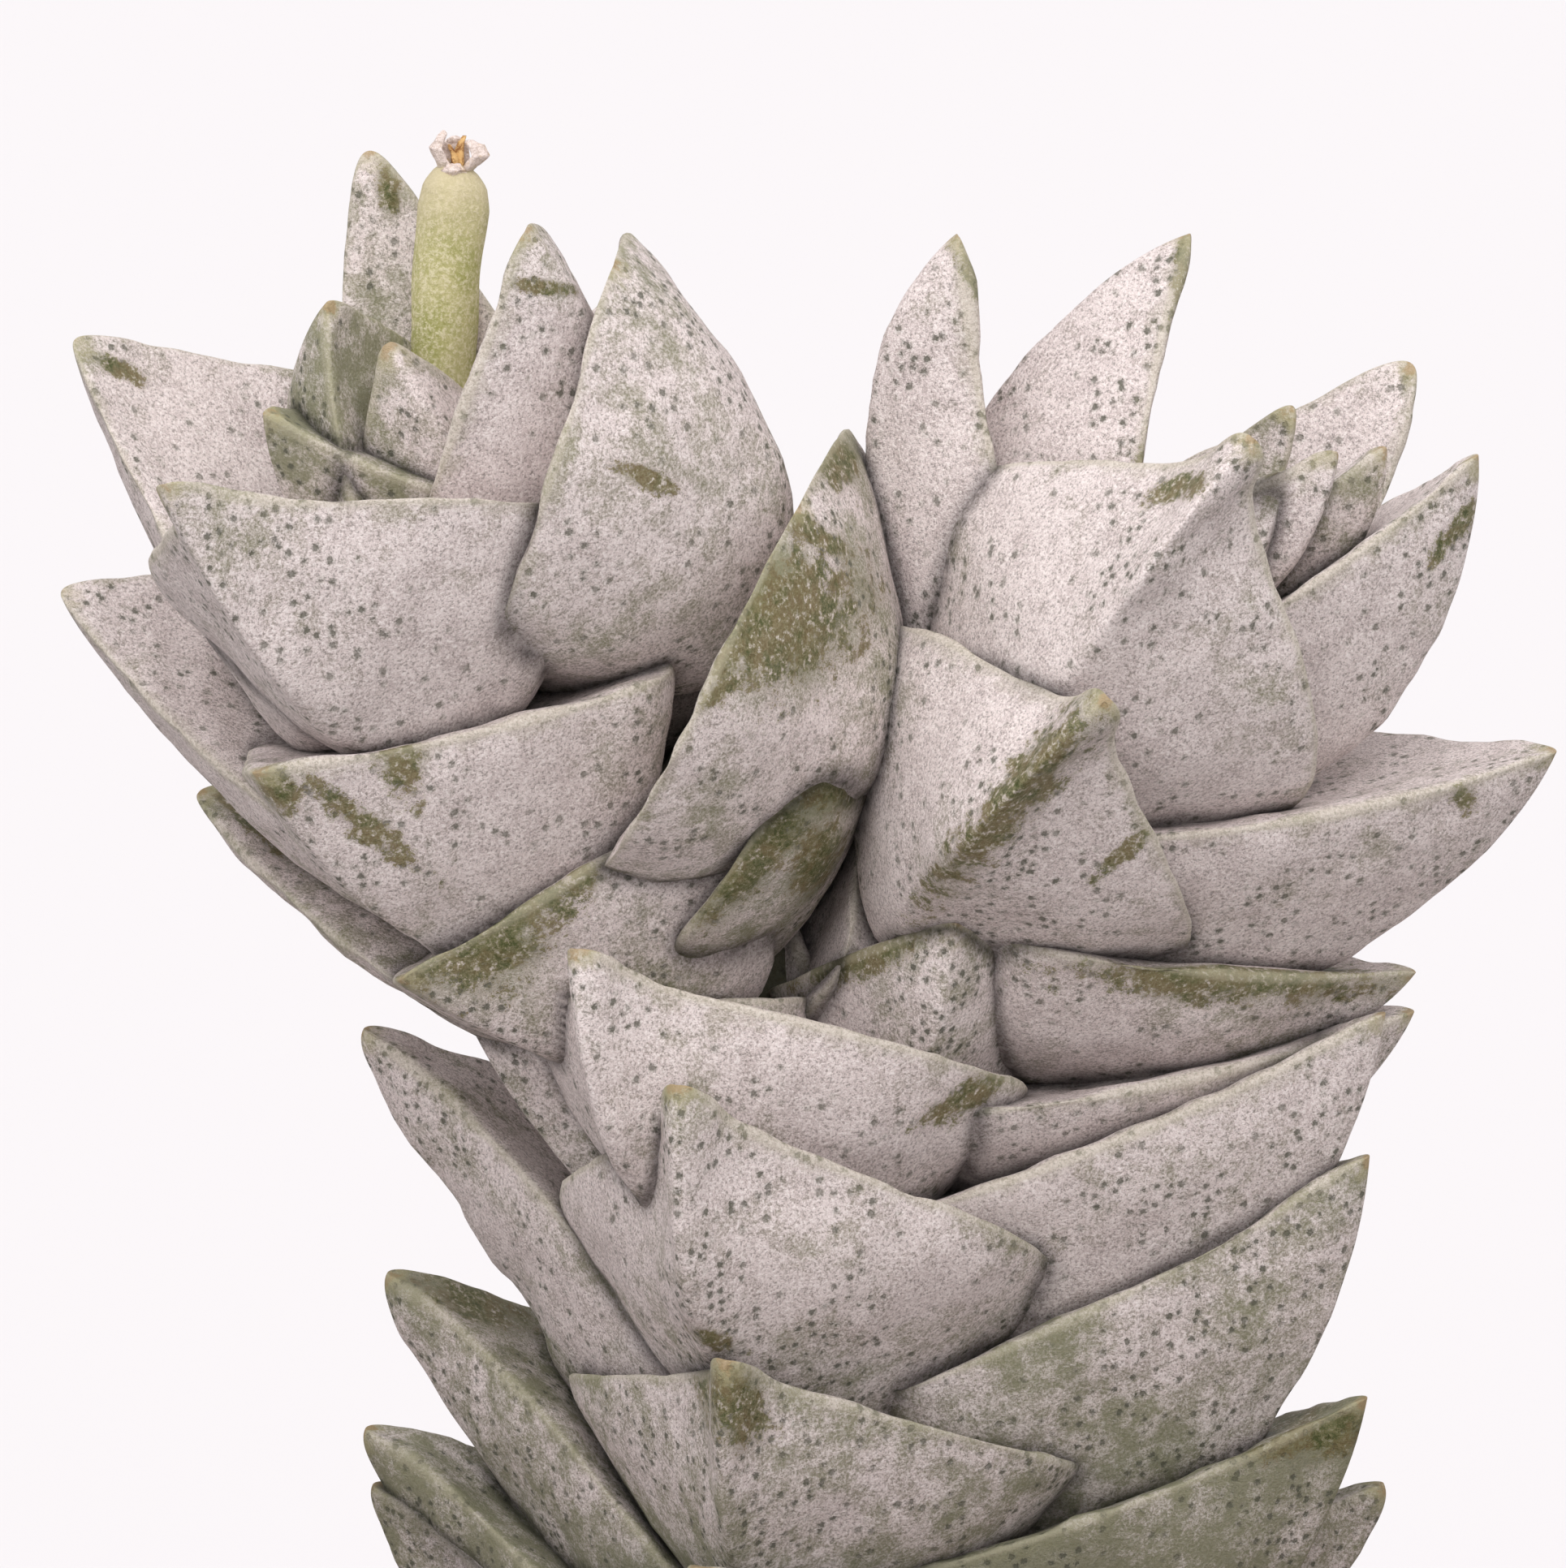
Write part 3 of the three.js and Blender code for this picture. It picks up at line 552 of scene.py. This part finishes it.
class Shader:
    """A node material: each call adds nodes and gives back the last one's output."""

    def __init__(self, name, **fixed):
        self.material = bpy.data.materials.new(name)
        self.material.use_nodes = True
        self.tree = self.material.node_tree
        self.bsdf = self.tree.nodes["Principled BSDF"]
        for key, value in fixed.items():
            self.bsdf.inputs[key.replace("_", " ")].default_value = value

    def node(self, kind, inputs, **settings):
        made = self.tree.nodes.new(kind)
        for key, value in settings.items():
            setattr(made, key, value)
        for key, value in inputs.items():
            self.set(made.inputs[key], value)
        return made

    def set(self, socket, value):
        if isinstance(value, bpy.types.NodeSocket):
            self.tree.links.new(value, socket)
        elif isinstance(value, tuple) and socket.type == "RGBA":
            socket.default_value = (*value, 1)
        else:
            socket.default_value = value

    def position(self):
        """The place on the object in millimetres."""
        coordinate = self.node("ShaderNodeTexCoord", {}).outputs["Object"]
        inputs = {0: coordinate, "Scale": 1 / MM}
        return self.node("ShaderNodeVectorMath", inputs, operation="SCALE").outputs[0]

    def attribute(self, name):
        """The three numbers of a point attribute."""
        vector = self.node("ShaderNodeAttribute", {}, attribute_name=name).outputs["Vector"]
        return self.node("ShaderNodeSeparateXYZ", {0: vector}).outputs

    def noise(self, at, scale, detail, rough=0.6):
        """Cloudy noise with that many features to the millimetre."""
        inputs = {"Vector": at, "Scale": scale, "Detail": detail, "Roughness": rough}
        return self.node("ShaderNodeTexNoise", inputs).outputs["Fac"]

    def math(self, kind, *values):
        return self.node("ShaderNodeMath", dict(enumerate(values)), operation=kind).outputs[0]

    def plus(self, *values):
        result = values[0]
        for value in values[1:]:
            result = self.math("ADD", result, value)
        return result

    def times(self, *values):
        result = values[0]
        for value in values[1:]:
            result = self.math("MULTIPLY", result, value)
        return result

    def band(self, value, low, high, to_low=0.0, to_high=1.0):
        """A smooth step from to_low to to_high as a value goes from low to high."""
        inputs = {"Value": value, "From Min": low, "From Max": high,
                  "To Min": to_low, "To Max": to_high}
        made = self.node("ShaderNodeMapRange", inputs, interpolation_type="SMOOTHSTEP")
        return made.outputs[0]

    def mix(self, share, a, b):
        return self.node("ShaderNodeMix", {0: share, 6: a, 7: b}, data_type="RGBA").outputs[2]

    def bump(self, height, distance, strength):
        inputs = {"Height": height, "Distance": distance, "Strength": strength}
        return self.node("ShaderNodeBump", inputs).outputs[0]

    def finish(self, **links):
        for key, value in links.items():
            self.set(self.bsdf.inputs[key.replace("_", " ")], value)
        return self.material


# The wax with its dark and pale grain, the flesh under it, and a pit with its rim
WAX = ((0.67, 0.578, 0.562), (0.815, 0.722, 0.70))
DARK_GRAIN = (0.22, 0.20, 0.18)
PALE_GRAIN = (0.97, 0.91, 0.88)
FLESH = (0.235, 0.245, 0.135)
PIT_RIM = (0.235, 0.235, 0.175)
PIT = (0.10, 0.105, 0.075)

# The bare skin of a worn patch: its two main tints, its flecks and its grain
SKIN_TINTS = ((0.062, 0.080, 0.014), (0.165, 0.125, 0.050))
SKIN_FLECK = (0.20, 0.185, 0.075)
SKIN_GRAIN = (0.32, 0.29, 0.15)

# The margin, inside and at its edge, and the tip, from further back to its end
MARGIN_TINTS = ((0.30, 0.30, 0.16), (0.60, 0.56, 0.42))
TIP_TINTS = ((0.47, 0.43, 0.25), (0.42, 0.26, 0.12))
# Black for the painted shade
PAINTED_SHADE_BLACK = (0.0, 0.0, 0.0)


def leaf_material():
    """Chalky wax over green flesh: grain, pits, worn patches, pale margins, yellow tips, painted
    shade.
    """
    m = Shader("waxy_leaf", Specular_IOR_Level=0.22)
    at = m.position()
    to_tip, margin, crowd = m.attribute("place")
    # The third number of the wear attribute is painted shade
    rub, green, painted_shade = m.attribute("wear")
    grain = m.noise(at, 8.5, 3, 0.9)
    blotch = m.noise(at, 1.1, 5, 0.66)
    cell = m.node("ShaderNodeTexVoronoi", {"Vector": at, "Scale": 2.3, "Randomness": 0.8}).outputs
    lot = m.node("ShaderNodeSeparateColor", {0: cell["Color"]}).outputs[0]

    wax = m.mix(m.band(blotch, 0.36, 0.64), *WAX)
    wax = m.mix(m.band(grain, 0.36, 0.49, 0.72, 0.0), wax, DARK_GRAIN)
    wax = m.mix(m.band(grain, 0.51, 0.62, 0.0, 0.85), wax, PALE_GRAIN)
    thin = m.plus(green, m.band(blotch, 0.62, 0.38, -0.25, 0.25))
    thin = m.plus(thin, m.band(grain, 0.6, 0.4, -0.15, 0.15))
    color = m.mix(m.band(thin, 0.0, 1.2, 0.0, 0.85), wax, FLESH)

    # A cell of the pattern has a pit when its lot is below the crowd of pits there
    spot = m.plus(cell["Distance"], m.band(grain, 0.35, 0.65, -0.08, 0.08))
    here = m.band(m.math("SUBTRACT", crowd, lot), -0.02, 0.10)
    pit = m.times(m.band(spot, 0.31, 0.17), here)
    color = m.mix(m.times(m.band(spot, 0.60, 0.25), here, 0.36), color, PIT_RIM)
    color = m.mix(m.times(pit, m.band(crowd, 0.1, 0.8, 0.35, 0.75)), color, PIT)

    # The wax is worn off in ragged patches
    ragged = m.plus(rub, m.times(m.math("SUBTRACT", blotch, 0.5), 1.5))
    bare = m.band(m.plus(ragged, m.band(grain, 0.4, 0.6, -0.10, 0.10)), 0.47, 0.63)
    fleck = m.noise(at, 4.0, 3, 0.7)
    moss = m.noise(at, 0.9, 3, 0.6)
    skin = m.mix(m.band(moss, 0.40, 0.60), *SKIN_TINTS)
    skin = m.mix(m.band(fleck, 0.42, 0.62), skin, SKIN_FLECK)
    skin = m.mix(m.band(grain, 0.45, 0.65, 0.0, 0.5), skin, SKIN_GRAIN)
    color = m.mix(m.times(bare, m.band(fleck, 0.66, 0.52, 0.30, 0.94)), color, skin)

    inside = m.plus(margin, m.band(blotch, 0.35, 0.65, -0.25, 0.25))
    color = m.mix(m.times(m.band(inside, 0.6, 0.15), 0.20), color, MARGIN_TINTS[0])
    color = m.mix(m.times(m.band(margin, 0.2, 0.05), 0.30), color, MARGIN_TINTS[1])
    end = m.plus(to_tip, m.band(blotch, 0.35, 0.65, -0.25, 0.25))
    color = m.mix(m.band(end, 1.0, 0.35, 0.0, 0.5), color, TIP_TINTS[0])
    color = m.mix(m.band(end, 0.42, 0.15, 0.0, 0.5), color, TIP_TINTS[1])
    # Painted shade: darkened where leaves touch, low on the column, and on the hidden root and stem
    color = m.mix(painted_shade, color, PAINTED_SHADE_BLACK)

    height = m.plus(m.times(grain, 0.9), m.times(pit, -0.35))
    rough = m.band(bare, 0, 1, 0.85, 0.5)
    return m.finish(Base_Color=color, Roughness=rough, Normal=m.bump(height, 0.00016, 0.75))


def stalk_material():
    """Yellow-green mealy skin, paler towards the top."""
    m = Shader("mealy_stalk", Specular_IOR_Level=0.25, Roughness=0.75)
    at = m.position()
    meal = m.noise(at, 7, 4, 0.8)
    cloud = m.noise(at, 0.7, 3)
    height = m.node("ShaderNodeSeparateXYZ", {0: at}).outputs[2]
    color = m.mix(m.band(cloud, 0.35, 0.65), (0.37, 0.37, 0.13), (0.52, 0.49, 0.24))
    color = m.mix(m.band(meal, 0.45, 0.62, 0.0, 0.75), color, (0.76, 0.71, 0.50))
    color = m.mix(m.band(meal, 0.42, 0.32, 0.0, 0.5), color, (0.22, 0.24, 0.07))
    color = m.mix(m.band(height, 121.5, 124.6, 0.0, 0.7), color, (0.66, 0.57, 0.39))
    return m.finish(Base_Color=color, Normal=m.bump(meal, 0.00010, 0.8))


def dry_flower_material():
    """Papery cream ears, brown in the creases and on the crumbs between them."""
    m = Shader("dry_flower", Specular_IOR_Level=0.25, Roughness=0.8)
    at = m.position()
    brown, climb, _ = m.attribute("dry")
    crepe = m.noise(at, 3.2, 4, 0.7)
    fine = m.noise(at, 9, 3, 0.8)
    cream = m.mix(m.band(fine, 0.35, 0.62), (0.56, 0.46, 0.40), (0.86, 0.75, 0.70))
    cream = m.mix(m.band(crepe, 0.46, 0.34, 0.0, 0.6), cream, (0.60, 0.42, 0.22))
    cream = m.mix(m.band(climb, 0.25, 0.0, 0.0, 0.45), cream, (0.52, 0.47, 0.27))
    rust = m.mix(m.band(crepe, 0.40, 0.56), (0.30, 0.13, 0.04), (0.72, 0.47, 0.20))
    height = m.plus(crepe, m.times(fine, 0.4))
    return m.finish(Base_Color=m.mix(brown, cream, rust), Normal=m.bump(height, 0.00014, 0.9))


def clay_material():
    """Fired clay with sanded grain, faint turning lines and a lime bloom."""
    m = Shader("terracotta", Specular_IOR_Level=0.25)
    at = m.position()
    height = m.node("ShaderNodeSeparateXYZ", {0: at}).outputs[2]
    grain = m.noise(at, 3.5, 5, 0.75)
    cloud = m.noise(at, 0.07, 5)
    stretch = {0: at, 1: (0.03, 0.03, 1.6)}
    squashed = m.node("ShaderNodeVectorMath", stretch, operation="MULTIPLY").outputs[0]
    lines = m.noise(squashed, 1.0, 3)
    color = m.mix(m.band(cloud, 0.35, 0.65), (0.43, 0.155, 0.068), (0.54, 0.225, 0.11))
    color = m.mix(m.band(grain, 0.5, 0.72, 0.0, 0.5), color, (0.62, 0.32, 0.18))
    color = m.mix(m.band(grain, 0.36, 0.25, 0.0, 0.6), color, (0.22, 0.08, 0.04))
    bloom = m.plus(m.noise(at, 0.11, 6, 0.7), m.band(height, 34, 2, 0.0, 0.16))
    bloom = m.times(m.band(bloom, 0.53, 0.72, 0.0, 0.6), m.band(grain, 0.3, 0.6, 0.5, 1.0))
    color = m.mix(bloom, color, (0.72, 0.60, 0.52))
    relief = m.bump(m.plus(m.times(grain, 0.3), lines), 0.0003, 0.55)
    return m.finish(Base_Color=color, Roughness=m.band(bloom, 0, 0.6, 0.78, 0.95), Normal=relief)


def soil_material():
    """Dark crumbs under pale and brown grit; each grain has its own tint."""
    m = Shader("gritty_soil", Specular_IOR_Level=0.2, Roughness=0.95)
    at = m.position()
    tint, stony, _ = m.attribute("grain")
    speckle = m.noise(at, 2.4, 5, 0.7)
    dark = m.mix(m.band(speckle, 0.35, 0.65), (0.035, 0.024, 0.016), (0.12, 0.085, 0.058))
    stone = m.mix(tint, (0.28, 0.20, 0.14), (0.55, 0.50, 0.44))
    stone = m.mix(m.band(speckle, 0.4, 0.7, 0.0, 0.5), stone, (0.20, 0.15, 0.11))
    return m.finish(Base_Color=m.mix(stony, dark, stone), Normal=m.bump(speckle, 0.0004, 0.9))


# The plant

draw = random_from(SEED)
waxy = leaf_material()
FEET = {"main_stem": [(0, 0, STEM_FOOT), (0, 0, 60)], "left_head": [], "right_head": []}
shoots = {"main_stem": MAIN_STEM, "left_head": LEFT_HEAD, "right_head": RIGHT_HEAD}
all_rows = {name: with_partners(shoot, draw) for name, shoot in shoots.items()}
# Painted shade between leaves: how close each leaf comes to the others
touching = iter(contacts([leaf_points(shoots[name]["nodes"], f)[0]
                          for name, rows in all_rows.items() for f in rows]))
for seed, (name, rows) in enumerate(all_rows.items(), start=11):
    radii = (STEM_DIAMETER / 2, STEM_DIAMETER / 2) if name == "main_stem" else HEAD_STEM_RADII
    touches = [next(touching) for _ in rows]
    build_shoot(name, shoots[name], rows, touches, FEET[name], ([0, 1], radii), seed, waxy)

# The old flower stalk swells a little and closes in a round shoulder
STALK_RADII = ([0, 0.3, 0.75, 0.9, 0.955, 0.985, 1], [1.0, 1.12, 1.16, 1.17, 1.05, 0.8, 0.55])
STALK_SIDES = 32
STALK_STEPS = 80
STALK_SKIN = [(0.04, 2.0)]
rings, low, high = tube(STALK_LINE, STALK_RADII, STALK_SIDES, STALK_STEPS)
swell = uneven(rings, STALK_SKIN, np.random.default_rng(41))
rings = rings + ring_normals(rings) * swell[..., None]
make_piece("old_stalk", np.concatenate([rings.reshape(-1, 3), [low, high]]),
           ring_faces(len(rings), STALK_SIDES, 0), "flower_stalk", stalk_material())

# The dried ears of the flower; the curl is how far their sides bend in, as a share of half width
EAR_SIDES = 20
EAR_STEPS = 24
EAR_CURL = 0.3
EAR_SKIN = [(0.06, 0.8)]


def dry_ear(angle, line, widths, thick, seed):
    """Rings of one dried ear of the flower, from how it goes out and up and how wide it is."""
    top = np.array(STALK_LINE[-1])
    out = np.array([math.cos(angle), math.sin(angle), 0])
    side = np.array([-math.sin(angle), math.cos(angle), 0])
    a = np.linspace(0, 2 * math.pi, EAR_SIDES, endpoint=False)[:, None]
    share = np.linspace(0, 1, len(line))
    far, high = np.array(line).T
    rings = []
    for t in np.linspace(0, 1, EAR_STEPS + 1):
        centre = top + out * np.interp(t, share, far) + np.array([0, 0, np.interp(t, share, high)])
        half = np.interp(t, np.linspace(0, 1, len(widths)), widths)
        depth = min(thick, half)
        curl = depth * np.sin(a) - EAR_CURL * half * np.cos(a) ** 2
        rings.append(centre + side * half * np.cos(a) + out * curl)
    rings = np.array(rings)
    swell = uneven(rings, EAR_SKIN, np.random.default_rng(seed))
    return rings + ring_normals(rings) * swell[..., None]


# Each ear: its turn in degrees from +X, its line (out, up), its half widths and its thickness
EARS = [
    (200, [(0.35, -0.05), (0.62, 0.35), (0.78, 0.7), (0.62, 1.05), (0.5, 1.3)],
     [0.42, 0.36, 0.45, 0.3, 0.08], 0.2),
    (-18, [(0.3, -0.1), (0.62, 0.1), (0.9, 0.45), (0.75, 0.8), (0.45, 0.9)],
     [0.5, 0.44, 0.46, 0.34, 0.12], 0.24),
    (262, [(0.55, -0.2), (0.75, 0.0), (0.68, 0.14), (0.5, 0.18)], [0.42, 0.45, 0.32, 0.1], 0.14),
    (95, [(0.4, -0.1), (0.6, 0.4), (0.55, 0.8), (0.4, 0.95)], [0.5, 0.5, 0.4, 0.12], 0.18),
]
CRUMBS = [
    (60, [(0.1, 0.0), (0.2, 0.5), (0.35, 0.85), (0.5, 1.0)], [0.25, 0.22, 0.16, 0.08], 0.12),
    (150, [(0.0, 0.0), (0.1, 0.35), (0.3, 0.75)], [0.3, 0.25, 0.08], 0.14),
]
EAR_TOP = (0, 0, 0.02)
points, faces, brown = [], [], []
for seed, ear in enumerate(EARS + CRUMBS, start=51):
    rings = dry_ear(math.radians(ear[0]), *ear[1:], seed)
    faces += ring_faces(len(rings), rings.shape[1], len(points))
    points += rings.reshape(-1, 3).tolist() + [rings[0].mean(0), rings[-1].mean(0) + EAR_TOP]
    hue = 0.0 if ear in EARS else 1.0
    climb = np.repeat(np.linspace(0, 1, len(rings)), rings.shape[1])
    brown += [[hue, c, 0] for c in climb.tolist()] + [[hue, 0, 0], [hue, 1, 0]]
flower = make_piece("dried_lobes", points, faces, "withered_flower",
                    dry_flower_material())
set_attribute(flower, "dry", brown)


# Pot and soil

RIM_RADIUS = POT_DIAMETER / 2
BASE_RADIUS = POT_BASE_DIAMETER / 2
RIM_FOOT = POT_HEIGHT - RIM_HEIGHT
SIDES = 160
ANGLES = np.linspace(0, 2 * math.pi, SIDES, endpoint=False)


def inner_radius(z):
    return BASE_RADIUS - POT_WALL + (RIM_RADIUS - BASE_RADIUS) * z / POT_HEIGHT


def rounded(corners, radius, steps=5):
    """A closed outline with each corner rounded."""
    corners = np.array(corners, float)
    out = []
    for i, corner in enumerate(corners):
        before, after = corners[i - 1] - corner, corners[(i + 1) % len(corners)] - corner
        reach = min(radius, 0.45 * np.linalg.norm(before), 0.45 * np.linalg.norm(after))
        a, b = corner + unit(before) * reach, corner + unit(after) * reach
        for t in np.linspace(0, 1, steps + 1):
            out.append((1 - t) ** 2 * a + 2 * t * (1 - t) * corner + t * t * b)
    return np.array(out)


def densified(outline, step):
    """A closed outline with more points on its long stretches."""
    out = []
    for a, b in zip(outline, np.roll(outline, -1, 0)):
        count = max(1, int(np.linalg.norm(b - a) / step))
        out += [a + (b - a) * i / count for i in range(count)]
    return np.array(out)


def turned(radii, heights):
    """Rings round the pot's axis, one for each radius and height."""
    r, z = np.broadcast_arrays(radii[:, None], heights[:, None])
    z = np.broadcast_to(z, (len(radii), SIDES))
    return np.stack([r * np.cos(ANGLES), r * np.sin(ANGLES), z], -1)


EDGE_ROUND = 1.1
OUTLINE_STEP = 2.2
RIM_TAPER = 0.2
RIM_FOOT_SLOPE = 0.3
outline = densified(rounded([
    (DRAIN_DIAMETER / 2, 0),
    (BASE_RADIUS, 0),
    (RIM_RADIUS - RIM_STEP, RIM_FOOT),
    (RIM_RADIUS - RIM_TAPER, RIM_FOOT + RIM_FOOT_SLOPE),
    (RIM_RADIUS, POT_HEIGHT),
    (inner_radius(POT_HEIGHT), POT_HEIGHT),
    (inner_radius(POT_FLOOR), POT_FLOOR),
    (DRAIN_DIAMETER / 2, POT_FLOOR),
], EDGE_ROUND), OUTLINE_STEP)
shell = turned(outline[:, 0], outline[:, 1])

# The pot is a little uneven, only inwards, and not at its foot
POT_SKIN = [(0.10, 30), (0.04, 9)]
POT_SHRINK = 0.1
EVEN_FOOT = 3
dents = np.minimum(0, uneven(shell, POT_SKIN, np.random.default_rng(5)) - POT_SHRINK)
outward = np.stack([np.cos(ANGLES), np.sin(ANGLES), 0 * ANGLES], -1)
shell = shell + outward * (dents * np.minimum(1, shell[..., 2] / EVEN_FOOT))[..., None]
index = np.arange(len(outline) * SIDES).reshape(-1, SIDES)
over = np.roll(index, -1, 0)
faces = np.stack([index, np.roll(index, -1, 1), np.roll(over, -1, 1), over], -1)
make_piece("clay_pot", shell.reshape(-1, 3), faces.reshape(-1, 4).tolist(), "pot",
           clay_material())


def soil_relief(x, y):
    """How far the soil's top stands above its level at each place."""
    at = np.stack([x, y, 0 * x], -1)
    hills = 0.45 * waves(at, 9, np.random.default_rng(23))
    return hills + 0.2 * waves(at, 3, np.random.default_rng(24))


# The soil: up its wall from the floor's chamfer, in over its top to the stem, and down the hole
SOIL_BANDS = 60
WALL_BANDS = 12
WALL_FOOT = 0.4
WALL_TOP = 1
STEM_ROOM = 0.2
HOLE_BELOW = 1.3
outer = inner_radius(SOIL_TOP) - GAP
top_radii = np.linspace(outer, STEM_DIAMETER / 2 + STEM_ROOM, SOIL_BANDS)
top = turned(top_radii, np.full(SOIL_BANDS, float(SOIL_TOP)))
top[..., 2] += soil_relief(top[..., 0], top[..., 1])
wall_heights = np.linspace(POT_FLOOR + FLOOR_CHAMFER + WALL_FOOT, SOIL_TOP - WALL_TOP, WALL_BANDS)
wall = turned(inner_radius(wall_heights) - GAP, wall_heights)
hole = top[-1:].copy()
hole[..., 2] = STEM_FOOT - HOLE_BELOW
rings = np.concatenate([wall, top, hole])
points = [rings.reshape(-1, 3), [[0, 0, POT_FLOOR + GAP], [0, 0, STEM_FOOT - HOLE_BELOW]]]
faces = ring_faces(len(rings), SIDES, 0)
tints = [np.zeros((len(rings) * SIDES + 2, 3))]

# Loose grit on the soil: small angular stones, most of them fine and most of them pale
GRIT = 2600
FINE = (0.28, 0.75)
COARSE = (0.7, 1.25)
FINE_SHARE = 0.8
PALE_SHARE = 0.75
DARK_STONE = 0.25
PROUD = 0.25
CLEAR_OF_STEM = 1.2
CLEAR_OF_POT = 1
GOLDEN = (1 + 5 ** 0.5) / 2
STONE = np.array([
    (-1, GOLDEN, 0), (1, GOLDEN, 0), (-1, -GOLDEN, 0), (1, -GOLDEN, 0),
    (0, -1, GOLDEN), (0, 1, GOLDEN), (0, -1, -GOLDEN), (0, 1, -GOLDEN),
    (GOLDEN, 0, -1), (GOLDEN, 0, 1), (-GOLDEN, 0, -1), (-GOLDEN, 0, 1),
]) / math.hypot(1, GOLDEN)
STONE_FACES = np.array([
    (0, 11, 5), (0, 5, 1), (0, 1, 7), (0, 7, 10), (0, 10, 11),
    (1, 5, 9), (5, 11, 4), (11, 10, 2), (10, 7, 6), (7, 1, 8),
    (3, 9, 4), (3, 4, 2), (3, 2, 6), (3, 6, 8), (3, 8, 9),
    (4, 9, 5), (2, 4, 11), (6, 2, 10), (8, 6, 7), (9, 8, 1),
])
CORNERS = len(STONE)
draw = np.random.default_rng(31)
nearest, farthest = STEM_DIAMETER / 2 + CLEAR_OF_STEM, outer - CLEAR_OF_POT
radius = np.sqrt(draw.uniform(nearest ** 2, farthest ** 2, GRIT))
angle = draw.uniform(0, 2 * math.pi, GRIT)
x, y = radius * np.cos(angle), radius * np.sin(angle)
z = SOIL_TOP + soil_relief(x, y)
first = len(points[0]) + 2
for i in range(GRIT):
    size = draw.uniform(*(FINE if draw.random() < FINE_SHARE else COARSE))
    spin = np.linalg.qr(draw.normal(size=(3, 3)))[0]
    spin *= np.sign(np.linalg.det(spin))
    shape = STONE * draw.uniform(0.72, 1.2, (CORNERS, 1)) * draw.uniform(0.6, 1.1, 3)
    points.append(shape @ spin * size + (x[i], y[i], z[i] + PROUD * size))
    faces += (STONE_FACES + first + CORNERS * i).tolist()
    look = [draw.random(), 1.0 if draw.random() < PALE_SHARE else DARK_STONE, 0]
    tints.append(np.tile(look, (CORNERS, 1)))
soil = make_piece("grit_soil", np.concatenate(points), faces, "potting_soil",
                  soil_material())
set_attribute(soil, "grain", np.concatenate(tints))


# Floor, light and camera

FLOOR_HALF = 6
scene = bpy.context.scene
corners = [(x * FLOOR_HALF, y * FLOOR_HALF, 0) for x, y in ((-1, -1), (1, -1), (1, 1), (-1, 1))]
floor_mesh = bpy.data.meshes.new("floor")
floor_mesh.from_pydata(corners, [], [(0, 1, 2, 3)])
paper = Shader("floor_paper", Base_Color=(0.733, 0.728, 0.734, 1), Roughness=0.9,
               Specular_IOR_Level=0.1)
floor_mesh.materials.append(paper.material)
floor = bpy.data.objects.new("floor", floor_mesh)
scene.collection.objects.link(floor)
floor.visible_diffuse = False

# Soft studio light: a pale sky that is darker below the horizon, with a broad bright patch
KEY_DIRECTION = (-0.12, -0.72, 0.68)
SKY_TINT = (1.0, 0.965, 0.975, 1)
world = bpy.data.worlds.new("studio")
scene.world = world
world.use_nodes = True
tree = world.node_tree


def world_band(value, low, high, to_low, to_high):
    made = tree.nodes.new("ShaderNodeMapRange")
    made.interpolation_type = "SMOOTHSTEP"
    tree.links.new(value, made.inputs["Value"])
    made.inputs["From Min"].default_value = low
    made.inputs["From Max"].default_value = high
    made.inputs["To Min"].default_value = to_low
    made.inputs["To Max"].default_value = to_high
    return made.outputs[0]


direction = tree.nodes.new("ShaderNodeTexCoord").outputs["Generated"]
parts = tree.nodes.new("ShaderNodeSeparateXYZ")
tree.links.new(direction, parts.inputs[0])
facing = tree.nodes.new("ShaderNodeVectorMath")
facing.operation = "DOT_PRODUCT"
tree.links.new(direction, facing.inputs[0])
facing.inputs[1].default_value = KEY_DIRECTION
total = tree.nodes.new("ShaderNodeMath")
total.operation = "ADD"
tree.links.new(world_band(parts.outputs[2], -0.35, 0.2, 0.42, 0.80), total.inputs[0])
tree.links.new(world_band(facing.outputs["Value"], 0.35, 1.0, 0.0, 1.1), total.inputs[1])
background = tree.nodes["Background"]
tree.links.new(total.outputs[0], background.inputs["Strength"])
background.inputs["Color"].default_value = SKY_TINT

sun_data = bpy.data.lights.new("window", "SUN")
sun_data.energy = 0.6
sun_data.angle = math.radians(40)
sun = bpy.data.objects.new("window", sun_data)
sun.rotation_euler = (math.radians(42), math.radians(-8), 0)
scene.collection.objects.link(sun)

camera_data = bpy.data.cameras.new("camera")
camera_data.lens = LENS
camera_data.sensor_width = SENSOR
camera_data.clip_start = 0.02
camera_data.clip_end = 30
camera = bpy.data.objects.new("camera", camera_data)
camera.location = CAMERA * MM
camera.rotation_euler = (math.radians(90 - CAMERA_DIP), 0, 0)
scene.collection.objects.link(camera)
scene.camera = camera
scene.view_settings.view_transform = "Standard"
